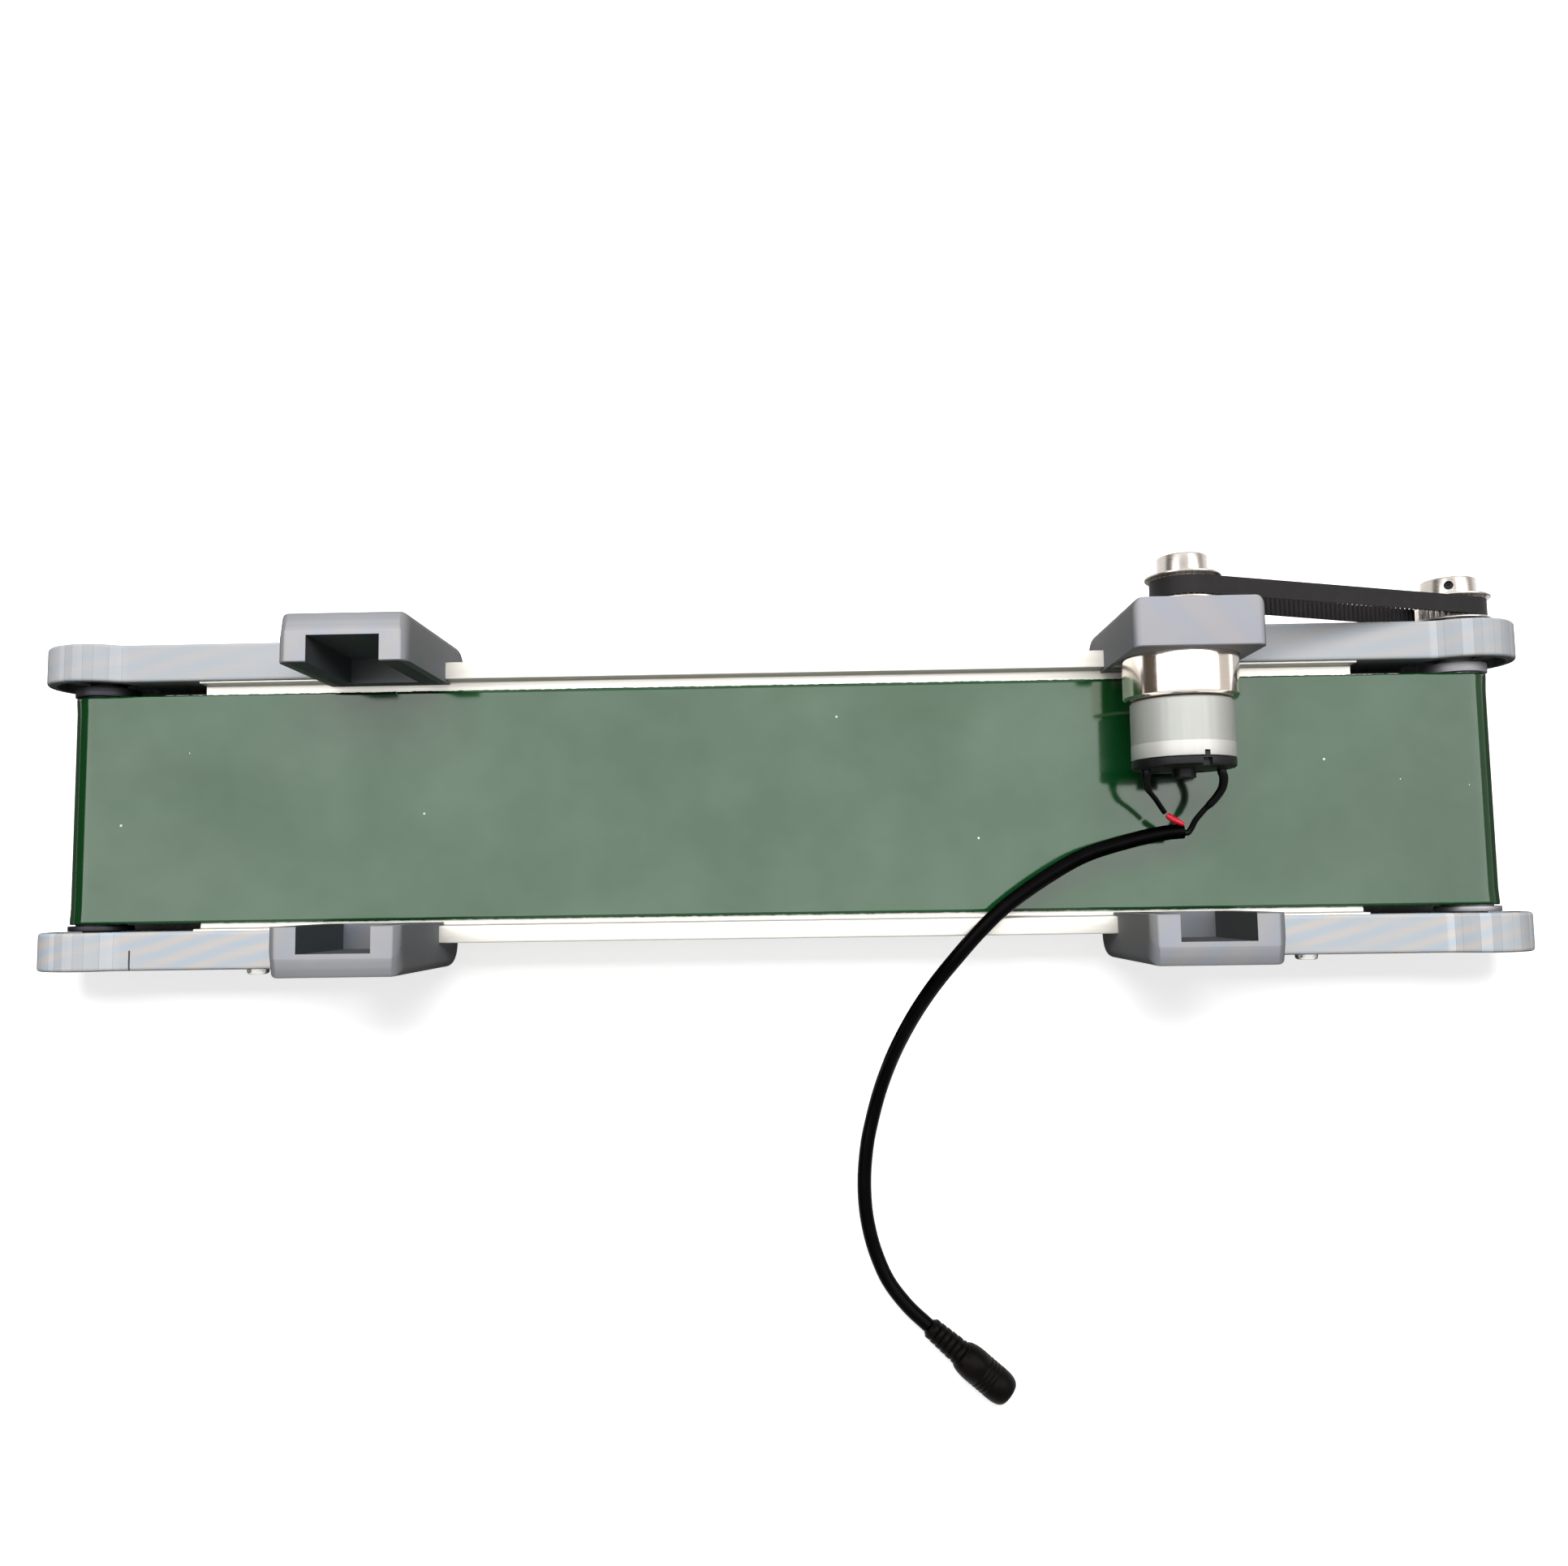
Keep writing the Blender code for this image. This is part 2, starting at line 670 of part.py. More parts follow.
def makeGearbox():
    axis, lay, _ = gearCentres()
    rear = gearboxBack + frontPlateThick
    front = frontPlateBack - clear
    hole = gearModule * pinionTeeth / 2 + gearTip + 2 * clear
    profile = [(hole, gearboxBack), (gearboxRadius - 0.5, gearboxBack),
               (gearboxRadius, gearboxBack + 0.5), (gearboxRadius, front),
               (gearboxRadius - gearboxWall, front), (gearboxRadius - gearboxWall, rear),
               (hole, rear)]
    piece("gearbox_housing", turned(profile, 36, axis, ring=True), "nickel",
          joins=[drum(pinRadius, rear - 1, frontPlateBack + 1, 12, lay)])
    holes = [drum(m3Hole, frontPlateBack - 1, frontPlateFace + 1, 12,
                  (axis[0] + motorScrewCircle * math.cos(math.radians(a)),
                   axis[1] + motorScrewCircle * math.sin(math.radians(a))))
             for a in motorScrewAngles]
    holes.append(drum(outputRadius + clear, frontPlateBack - 1, frontPlateFace + noseLength + 1,
                      20, (motorAt, outputHeight)))
    holes.append(drum(pinRadius + clear, frontPlateBack - 1, frontPlateBack + 1.4, 12, lay))
    nose = drum(noseRadius, frontPlateFace - 1, frontPlateFace + noseLength, 24,
                (motorAt, outputHeight))
    piece("gearbox_front_plate", drum(gearboxRadius, frontPlateBack, frontPlateFace, 36, axis),
          "nickel", joins=[nose], cuts=[merged(*holes)])


def makeGears():
    axis, lay, output = gearCentres()
    toLay = math.atan2(lay[1] - axis[1], lay[0] - axis[0])
    toOutput = math.atan2(output[1] - lay[1], output[0] - lay[0])
    halfTooth = math.pi / wheelTeeth
    firstLow = gearboxBack + frontPlateThick + 1.5
    firstHigh = firstLow + wheelWide
    secondLow = firstHigh + stageGap
    secondHigh = secondLow + wheelWide + 0.5
    root = gearModule * pinionTeeth / 2 - gearRoot

    tip = firstLow - 0.5 + pinionReach
    shaft = [(0, capBack - 0.1), (pinRadius, capBack - 0.1), (pinRadius, canBack - 0.1),
             (commutatorRadius, canBack - 0.1), (commutatorRadius, canBack + commutatorLength),
             (pinRadius, canBack + commutatorLength), (pinRadius, tip), (0, tip)]
    poles = []
    for pole in range(poleCount):
        turn = 90 + 360 * pole / poleCount
        for radius, angle in ((4.5, -35), (9.0, -14), (9.4, -poleHalfAngle)):
            poles += arc(axis, radius, turn + angle, turn + angle, 1)[:1]
        poles += arc(axis, rotorRadius, turn - poleHalfAngle, turn + poleHalfAngle, 6)
        for radius, angle in ((9.4, poleHalfAngle), (9.0, 14), (4.5, 35)):
            poles += arc(axis, radius, turn + angle, turn + angle, 1)[:1]
    rotorLow = canBack + rotorStart
    piece("motor_armature", turned(shaft, 12, axis), "copper",
          joins=[prism(poles, rotorLow, rotorLow + rotorLength),
                 prism(gearOutline(pinionTeeth, axis, toLay), tip - pinionReach, tip - 0.2)],
          origin=(axis[0], 0.0, axis[1]))

    bore = drum(pinRadius + clear, firstLow - 1, secondHigh + 2, 12, lay)
    piece("lay_gear", prism(gearOutline(wheelTeeth, lay, toLay + math.pi + halfTooth),
                            firstLow, firstHigh), "steel",
          joins=[prism(gearOutline(pinionTeeth, lay, toOutput), firstHigh - 1, secondHigh + 0.6)],
          cuts=[bore], origin=(lay[0], 0.0, lay[1]))
    shaftBore = arc(output, outputRadius + clear, 0, 342, 19)
    piece("output_gear", prism(gearOutline(wheelTeeth, output, toOutput + math.pi + halfTooth),
                               secondLow, secondHigh, holes=[shaftBore]), "steel",
          origin=(output[0], 0.0, output[1]))
    bevel = shaftBevel
    low, high = secondLow - 0.5, pulleyEnd - outputShaftSetBack
    profile = [(0, low), (outputRadius, low), (outputRadius, high - bevel),
               (outputRadius - bevel, high), (0, high)]
    piece("output_shaft", turned(profile, 20, output), "steel",
          origin=(output[0], 0.0, output[1]))


def makeMotor():
    axis = (motorAt, motorHeight)
    front = gearboxBack - clear
    inside = canRadius - canWall
    hole = pinRadius + 2 * clear
    profile = [(hole, front), (canRadius - 0.6, front), (canRadius, front - 0.6),
               (canRadius, canBack), (inside, canBack), (inside, front - canWall),
               (hole, front - canWall)]
    piece("motor_can", turned(profile, 36, axis, ring=True), "satinSteel")
    magnetOuter = inside - clear
    piece("field_magnet", tubeRing(magnetOuter - magnetThick, magnetOuter,
                                   canBack + magnetStart, front - canWall - magnetEndRoom,
                                   24, axis), "magnet")

    rim = canBack - clear
    floor = capBack + capWall
    well = canRadius - capWall
    profile = [(0, capBack - capBossTall), (capBossRadius, capBack - capBossTall),
               (capBossRadius, capBack), (canRadius - 0.6, capBack), (canRadius, capBack + 0.6),
               (canRadius, rim), (well, rim), (well, floor), (hole, floor), (hole, capBack - 0.6),
               (0, capBack - 0.6)]
    brushes = []
    for way in (1, -1):
        x = sorted((motorAt + way * (commutatorRadius + clear), motorAt + way * brushReach))
        z = (motorHeight - brushHalf, motorHeight + brushHalf)
        brushes.append(box(x, (floor - 0.5, rim + brushTall), z))
    slots = []
    for way in (1, -1):
        x = motorAt + way * terminalSpread
        wide, thick = terminalWide / 2 + clear, terminalThick / 2 + clear
        slots.append(box((x - wide, x + wide), (capBack - 1, floor + 1),
                         (motorHeight - thick, motorHeight + thick)))
        name = "terminal_right" if way > 0 else "terminal_left"
        piece(name, box((x - terminalWide / 2, x + terminalWide / 2),
                        (capBack - terminalOut, floor + 2),
                        (motorHeight - terminalThick / 2, motorHeight + terminalThick / 2)),
              "tinned")
    notch = motorAt + capNotchAt
    slots.append(box((notch - capNotchWide / 2, notch + capNotchWide / 2),
                     (rim - capNotchDeep, rim + 1),
                     (motorHeight + canRadius - 3.5, motorHeight + canRadius + 1)))
    piece("motor_end_cap", turned(profile, 36, axis), "blackPlastic",
          joins=[merged(*brushes)], cuts=[merged(*slots)])


# Wire routes, laid by hand. x and y are from the motor's axis and the back of its cap; z is
# from the motor's axis for the leads and the sleeve, and from the roller axes for the cable.
leadLeft = ((-12.3, -0.9, 0.0), (-12.2, -3.3, -0.6), (-11.2, -6.3, -2.2), (-8.3, -9.3, -4.7),
            (-6.3, -11.6, -6.6), (-4.7, -13.5, -7.75))
sleeveRoute = ((-4.0, -14.2, -7.9), (-2.4, -15.5, -7.75), (-0.4, -16.7, -7.4), (1.4, -17.7, -7.2))
leadRight = ((12.2, -0.9, 0.0), (12.9, -2.9, -0.6), (12.7, -6.2, -2.2), (10.7, -9.7, -4.3),
             (7.9, -12.9, -6.5), (5.6, -16.1, -8.6), (4.5, -18.7, -10.0), (3.4, -20.2, -10.5))
cableRoute = ((2.0, -19.6, 22.5), (-4.0, -20.1, 22.3), (-14.0, -22.1, 22.0), (-30.0, -26.8, 21.4),
              (-43.5, -34.1, 20.4), (-56.8, -43.4, 19.0), (-65.5, -51.5, 17.6),
              (-73.6, -60.8, 14.6), (-80.8, -70.3, 9.0), (-86.7, -80.0, 1.8),
              (-91.5, -89.7, -5.4), (-95.4, -99.1, -11.2), (-98.7, -108.6, -15.0),
              (-101.4, -118.2, -16.7), (-103.6, -127.9, -16.8), (-104.8, -139.1, -16.8),
              (-104.6, -149.8, -16.8), (-103.1, -159.1, -16.8), (-100.6, -167.4, -16.7),
              (-96.8, -175.5, -15.9), (-90.5, -183.3, -14.4), (-83.6, -189.5, -13.4))


def makeWiring():
    motorBack = Vector((motorAt, capBack, motorHeight))
    cableDatum = Vector((motorAt, capBack, 0.0))
    for name, route, finish in (("lead_left", leadLeft, "wireBlack"),
                                ("red_sleeve", sleeveRoute, "wireRed"),
                                ("lead_right", leadRight, "wireBlack")):
        cord(name, route, motorBack, leadRadius, 2.8, 2, finish)
    cord("power_cable", cableRoute, cableDatum, cableRadius, 10.0, 3, "cableBlack")
    axis = Vector(plugAxis).normalized()
    turn = Vector((0, 1, 0)).rotation_difference(axis).to_matrix().to_4x4()
    start = cableDatum + Vector(cableRoute[-1]) + axis * clear

    rib = reliefLength / (reliefRibs + 1)
    profile = [(0, 0), (reliefRadius - 0.5, 0)]
    for i in range(reliefRibs):
        low = rib * (i + 0.35)
        crest = reliefRadius + 0.14 * i
        profile += [(crest - 0.7, low), (crest, low + 0.3), (crest, low + 0.6 * rib),
                    (crest - 0.7, low + 0.6 * rib + 0.3)]
    profile += [(reliefRadius + 0.7, reliefLength - 0.8), (reliefRadius + 0.7, reliefLength),
                (0, reliefLength)]
    relief = turned(profile, 16)
    relief.transform(Matrix.Translation(start) @ turn)
    piece("strain_relief", relief, "wireBlack")

    mouth = jackLength - jackBoreDepth
    profile = [(0, 0), (0.78 * jackRadius, 0), (0.95 * jackRadius, 1.4), (jackRadius, 5.0),
               (0.97 * jackRadius, jackLength - 3.0), (0.88 * jackRadius, jackLength - 0.8),
               (0.76 * jackRadius, jackLength), (jackBore, jackLength), (jackBore, mouth),
               (jackPin, mouth), (jackPin, jackLength - 1.2), (0, jackLength - 1.2)]
    jack = turned(profile, 20)
    jack.transform(Matrix.Translation(start + axis * (reliefLength + clear)) @ turn)
    piece("dc_jack", jack, "blackPlastic")


clearScene()
makeBed()
for endName in ends:
    for sideName in sides:
        makeEndPlate(endName, sideName)
for endName, sideName in (("tail", "far"), ("tail", "near"), ("drive", "near")):
    makeFoot(endName, sideName)
makeBracket()
for endName in ends:
    makeRoller(endName)
makeBelt()
makeTimingDrive()
makeGearbox()
makeGears()
makeMotor()
makeWiring()
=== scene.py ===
import math
from functools import partial

import bmesh
import bpy
from mathutils import Matrix, Vector


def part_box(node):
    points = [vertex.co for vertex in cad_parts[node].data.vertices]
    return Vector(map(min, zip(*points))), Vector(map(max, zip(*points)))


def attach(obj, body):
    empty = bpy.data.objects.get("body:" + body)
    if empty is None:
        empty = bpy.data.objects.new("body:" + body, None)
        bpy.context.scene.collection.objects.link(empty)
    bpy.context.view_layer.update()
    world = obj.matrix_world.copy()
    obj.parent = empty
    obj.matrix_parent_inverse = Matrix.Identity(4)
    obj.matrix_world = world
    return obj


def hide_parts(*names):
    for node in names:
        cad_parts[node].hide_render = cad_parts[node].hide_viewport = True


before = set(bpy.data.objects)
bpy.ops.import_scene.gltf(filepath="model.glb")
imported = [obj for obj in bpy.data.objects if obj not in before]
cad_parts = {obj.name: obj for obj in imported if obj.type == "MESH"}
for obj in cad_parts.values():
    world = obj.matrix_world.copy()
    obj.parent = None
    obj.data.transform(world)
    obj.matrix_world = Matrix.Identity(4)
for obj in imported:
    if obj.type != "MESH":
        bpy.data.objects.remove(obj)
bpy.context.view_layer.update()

# Shapes are drawn in millimetres about the middle of the bed: x along it with the driven
# roller at +x, y across it with the timing drive at +y, z from the height of the roller axes.
mm = 0.001
bedLow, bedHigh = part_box("conveyor_profile")
shaftLow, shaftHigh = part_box("drive_shaft")
datum = Vector((0, (bedLow.y + bedHigh.y) / 2, (shaftLow.z + shaftHigh.z) / 2))
# How far a cutter reaches past what it cuts.
overrun = 1.0


def cadSpan(node):
    low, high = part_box(node)
    return (low - datum) / mm, (high - datum) / mm


def middleOf(node):
    low, high = cadSpan(node)
    return (low + high) / 2


def radiusOf(node):
    low, high = cadSpan(node)
    return (high.x - low.x) / 2


def wallsOf(node):
    # Distances of a node's inner and outer walls from the middle of the bed.
    return sorted(abs(corner.y) for corner in cadSpan(node))


def added(name, data):
    thing = bpy.data.objects.new(name, data)
    bpy.context.scene.collection.objects.link(thing)
    return thing


# The camera looks down on the bed from a little in front of it.
viewpoint = {"place": (11.68, -34.74, 450.82), "turn": (5.095, 1.185, -0.849),
             "lens": 29.405, "sensor": 36.0, "clip": 0.01}
camera = added("camera", bpy.data.cameras.new("camera"))
camera.data.lens = viewpoint["lens"]
camera.data.sensor_width = viewpoint["sensor"]
camera.data.clip_start = viewpoint["clip"]
camera.location = Vector(viewpoint["place"]) * mm + datum
camera.rotation_euler = [math.radians(angle) for angle in viewpoint["turn"]]
bpy.context.scene.camera = camera
bpy.context.scene.view_settings.view_transform = "Standard"
print("camera set")


def fillet(points, steps=5):
    # (u, v, radius) corners become arcs.
    outline = []
    for i, (u, v, radius) in enumerate(points):
        corner = Vector((u, v))
        before = (Vector(points[i - 1][:2]) - corner).normalized()
        after = (Vector(points[(i + 1) % len(points)][:2]) - corner).normalized()
        half = before.angle(after) / 2
        centre = corner + (before + after).normalized() * radius / math.sin(half)
        start = corner + before * radius / math.tan(half) - centre
        sweep = start.angle_signed(corner + after * radius / math.tan(half) - centre)
        for k in range(steps + 1):
            turn = -sweep * k / steps
            outline.append((centre.x + start.x * math.cos(turn) - start.y * math.sin(turn),
                            centre.y + start.x * math.sin(turn) + start.y * math.cos(turn)))
    return outline


def arc(centre, radius, start, end, steps):
    turns = [math.radians(start + (end - start) * i / steps) for i in range(steps + 1)]
    return [(centre[0] + radius * math.cos(t), centre[1] + radius * math.sin(t)) for t in turns]


def drawIn(points, amount):
    # Moves a closed outline inwards by amount, keeping its number of points.
    pairs = zip(points, points[1:] + points[:1])
    sign = 1 if sum(a[0] * b[1] - b[0] * a[1] for a, b in pairs) > 0 else -1
    moved = []
    for i, point in enumerate(points):
        here = Vector(point)
        before = (here - Vector(points[i - 1])).normalized()
        after = (Vector(points[(i + 1) % len(points)]) - here).normalized()
        square = Vector((-before.y, before.x)) * sign
        normal = Vector((-(before.y + after.y), before.x + after.x)) * sign
        if normal.length < 1e-6:
            normal = square
        normal = normal.normalized()
        moved.append(tuple(here + normal * amount / max(0.3, normal.dot(square))))
    return moved


def skin(shape, rows):
    # Joins closed rows of vertices with faces, each to the next.
    for first, second in zip(rows, rows[1:]):
        for i in range(len(first)):
            shape.faces.new((first[i - 1], first[i], second[i], second[i - 1]))


def fillFlat(shape, rows):
    # Closes the flat area between the rows of vertices.
    edges = [shape.edges.get((row[i - 1], row[i])) for row in rows for i in range(len(row))]
    bmesh.ops.triangle_fill(shape, use_beauty=True, use_dissolve=False, edges=edges)


def roundedEnds(low, high, edge, steps):
    # Stations from low to high, each with how far to draw in there to round both ends.
    quarter = [math.pi / 2 * k / steps for k in range(steps + 1)]
    end = [(edge * (1 - math.sin(t)), edge * (1 - math.cos(t))) for t in quarter]
    return [(low + w, inset) for w, inset in end[::-1]] + [(high - w, inset) for w, inset in end]


def slab(outline, low, high, axis="y", edge=0.0, edgeSteps=2, holes=()):
    # A flat outline pushed from low to high, with its end edges rounded by edge.
    stations = roundedEnds(low, high, edge, edgeSteps) if edge else [(low, 0.0), (high, 0.0)]
    shape = bmesh.new()
    loops = []
    for loop, grow in [(outline, 1)] + [(hole, -1) for hole in holes]:
        rows = []
        for w, amount in stations:
            path = drawIn(loop, amount * grow) if amount else loop
            rows.append([shape.verts.new({"x": (w, u, v), "y": (u, w, v), "z": (u, v, w)}[axis])
                         for u, v in path])
        skin(shape, rows)
        loops.append(rows)
    for k in (0, -1):
        if holes:
            fillFlat(shape, [rows[k] for rows in loops])
        else:
            shape.faces.new(loops[0][k])
    return shape


def about(middle, half):
    return middle - half, middle + half


def block(x, y, z):
    return slab([(x[0], y[0]), (x[1], y[0]), (x[1], y[1]), (x[0], y[1])], *z, "z")


def turned(profile, steps, centre=(0.0, 0.0), ring=False):
    # (radius, y) pairs turned about the y axis through centre (x, z); a third value of
    # True makes that circle a hexagon.
    shape = bmesh.new()
    loops = []
    for radius, y, *hexagon in profile:
        circle = []
        for i in range(steps if radius else 1):
            angle = 2 * math.pi * i / steps
            reach = radius
            if hexagon:
                reach *= math.cos(math.pi / 6) / math.cos(angle % (math.pi / 3) - math.pi / 6)
            circle.append(shape.verts.new((centre[0] + reach * math.cos(angle), y,
                                           centre[1] + reach * math.sin(angle))))
        loops.append(circle)
    if ring:
        loops.append(loops[0])
    for first, second in zip(loops, loops[1:]):
        for i in range(steps):
            j = (i + 1) % steps
            corners = [first[i % len(first)], first[j % len(first)],
                       second[j % len(second)], second[i % len(second)]]
            shape.faces.new(list(dict.fromkeys(corners)))
    return shape


def bar(inner, radius, low, high, bevelLow=0.0, bevelHigh=0.0):
    # Profile of a bar or a ring from inner to radius, its outer corners cut off by the bevels.
    profile = [(inner, low)]
    for y, way, bevel in ((low, 1, bevelLow), (high, -1, bevelHigh)):
        corner = [(radius - bevel, y), (radius, y + way * bevel)] if bevel else [(radius, y)]
        profile += corner[::way]
    return [*profile, (inner, high)]


def easeProfile(profile, radius=0.25):
    # Rounds each corner of a turned profile a little, where there is room for it.
    eased = profile[:1]
    for before, here, after in zip(profile, profile[1:], profile[2:]):
        toBefore, toAfter = Vector(before) - Vector(here), Vector(after) - Vector(here)
        if here[0] == 0 or min(toBefore.length, toAfter.length) < 3 * radius:
            eased.append(here)
            continue
        for part in (0.0, 0.5, 1.0):
            along = toBefore.normalized() * (1 - part) ** 2 + toAfter.normalized() * part ** 2
            eased.append(tuple(Vector(here) + along * radius))
    return eased + profile[-1:]


def gather(*shapes):
    whole = shapes[0]
    for other in shapes[1:]:
        held = bpy.data.meshes.new("held")
        other.to_mesh(held)
        whole.from_mesh(held)
        bpy.data.meshes.remove(held)
    return whole


def meshOf(name, shape, place=Matrix()):
    bmesh.ops.recalc_face_normals(shape, faces=shape.faces[:])
    shape.transform(place)
    mesh = bpy.data.meshes.new(name)
    shape.to_mesh(mesh)
    shape.free()
    return mesh


def combine(shape, joins=(), cuts=()):
    # Boolean work, done at once so that no helper object stays in the scene.
    body = added("loose", meshOf("loose", shape))
    helpers = []
    for operation, group in (("UNION", joins), ("DIFFERENCE", cuts)):
        for helper in group:
            helpers.append(added("loose", meshOf("loose", helper)))
            step = body.modifiers.new("cut", "BOOLEAN")
            step.operation, step.solver, step.object = operation, "EXACT", helpers[-1]
    made = bpy.data.meshes.new_from_object(body.evaluated_get(
        bpy.context.evaluated_depsgraph_get()))
    result = bmesh.new()
    result.from_mesh(made)
    for mesh in (made, *(thing.data for thing in (body, *helpers))):
        bpy.data.meshes.remove(mesh)
    return result


def fitted(thing, nodes, slot, body="frame"):
    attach(thing, body)
    if nodes:
        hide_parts(*nodes)
    return thing


def piece(name, shape, finish, nodes, slot, body="frame", smooth=30.0):
    mesh = meshOf(name, shape, Matrix.Translation(datum) @ Matrix.Scale(mm, 4))
    mesh.shade_smooth()
    mesh.set_sharp_from_angle(angle=math.radians(smooth))
    for each in finish if isinstance(finish, list) else [finish]:
        mesh.materials.append(each)
    return fitted(added(name, mesh), nodes, slot, body)


def linear(code):
    # sRGB hex to the linear colour that shaders take; anything else stays as it is.
    if not isinstance(code, str):
        return code
    parts = [int(code[i:i + 2], 16) / 255 for i in (1, 3, 5)]
    return (*(c / 12.92 if c <= 0.04045 else ((c + 0.055) / 1.055) ** 2.4 for c in parts), 1.0)


def addNode(tree, kind, inputs=(), out=None, ramp=(), **settings):
    # Inputs go by name, or in the order of the sockets in use. Returns the output called
    # out, or the first in use.
    made = tree.nodes.new("ShaderNode" + kind)
    for key, value in settings.items():
        setattr(made, key, value)
    inUse = [socket for socket in made.inputs if socket.enabled]
    for key, value in inputs.items() if isinstance(inputs, dict) else enumerate(inputs):
        socket = inUse[key] if isinstance(key, int) else made.inputs[key]
        if isinstance(value, bpy.types.NodeSocket):
            tree.links.new(value, socket)
        else:
            socket.default_value = linear(value)
    for i, (position, shade) in enumerate(ramp):
        stops = made.color_ramp.elements
        stop = stops[i] if i < 2 else stops.new(position)
        stop.position, stop.color = position, linear(shade)
    return made.outputs[out] if out else next(each for each in made.outputs if each.enabled)


def pattern(place, kind, size, inputs=(), turn=0, out=None, **settings):
    # A texture over the object's own coordinates: size is what one unit of it takes, in
    # millimetres, the same along each axis or one for each; turn is in degrees about z.
    add = partial(addNode, place.id_data)
    sizes = size if isinstance(size, (tuple, list)) else (size,) * 3
    place = add("Mapping", {"Vector": place, "Rotation": (0, 0, math.radians(turn)),
                            "Scale": [1 / (mm * each) for each in sizes]})
    return add(kind, {"Vector": place, "Scale": 1.0, **dict(inputs)}, out, **settings)


def newMaterial(name, shade, roughness, metallic=0.0, **sockets):
    # Returns the material, what adds nodes to it, its shader and object coordinates.
    made = bpy.data.materials.new(name)
    made.use_nodes = True
    add = partial(addNode, made.node_tree)
    shader = made.node_tree.nodes["Principled BSDF"]
    sockets.update(Base_Color=shade, Roughness=roughness, Metallic=metallic)
    for key, value in sockets.items():
        shader.inputs[key.replace("_", " ")].default_value = linear(value)
    return made, add, shader, add("TexCoord", out="Object")


def paint(shader, relief=None, depth=0.0, **patterns):
    # Links patterns to the shader: three values mix two colours, and five map one range to
    # another. depth is the real height of the relief in millimetres.
    add = partial(addNode, shader.id_data)
    if relief:
        patterns["Normal"] = add("Bump", {"Height": relief, "Distance": depth * mm})
    for key, source in patterns.items():
        if isinstance(source, tuple):
            source = (add("Mix", source, data_type="RGBA") if len(source) == 3
                      else add("MapRange", source))
        shader.id_data.links.new(source, shader.inputs[key.replace("_", " ")])


def beltPvc():
    # PVC-coated conveyor belt, calendered smooth: deep green with a wet-looking top, faint
    # clouds where it was wiped, and a few specks of white dust. The calender's grain is about
    # 0.2 mm across; drawn at 0.9 mm so that it shows.
    look = {"green": "#063b17", "worn": "#0b431d", "dust": "#cfd8cc", "sheen": (0.09, 0.16),
            "cloud": 42.0, "smear": (90, 25, 25), "speckCell": 12.0, "speck": 0.035,
            "bare": 0.72, "grain": 0.9, "sheenTint": "#f4fff4", "film": (0.44, 0.57)}
    made, add, shader, place = newMaterial("calendered_pvc_green", look["green"],
                                           look["sheen"][0], IOR=1.47,
                                           Specular_Tint=look["sheenTint"])
    clouds = pattern(place, "TexNoise", look["cloud"], {"Detail": 4.0, "Roughness": 0.6})
    smear = pattern(place, "TexNoise", look["smear"], {"Detail": 5.0, "Distortion": 0.8})
    cell = pattern(place, "TexVoronoi", look["speckCell"])
    tiny = add("Math", (cell, look["speck"]), operation="LESS_THAN")
    draw = add("SeparateColor", (cell.node.outputs["Color"],))
    some = add("Math", (draw, look["bare"]), operation="GREATER_THAN")
    speck = add("Math", (tiny, some), operation="MULTIPLY")
    tone = add("Mix", (clouds, look["green"], look["worn"]), data_type="RGBA")
    # The same clouds weaken and strengthen the film of polish on the belt.
    paint(shader, pattern(place, "TexNoise", look["grain"]), 0.004,
          Base_Color=(speck, tone, look["dust"]), Roughness=(smear, 0.5, 0.72, *look["sheen"]),
          Specular_IOR_Level=(clouds, 0.3, 0.7, *look["film"]))
    return made


def beltCloth():
    # Polyester carcass on the running side of the belt: plain weave, dull and dark grey-green.
    # Its threads are 0.4 mm apart; drawn at 0.8 mm so that the weave shows.
    look = {"thread": "#5c6a60", "gap": "#27302b", "pitch": 0.8, "dull": 0.85}
    made, add, shader, place = newMaterial("woven_polyester", look["thread"], look["dull"])
    waves = [pattern(place, "TexWave", look["pitch"], {"Scale": 0.32}, out="Fac",
                     bands_direction=axis) for axis in "XY"]
    weave = add("Math", waves, operation="MULTIPLY")
    paint(shader, weave, 0.1, Base_Color=(weave, look["gap"], look["thread"]))
    return made


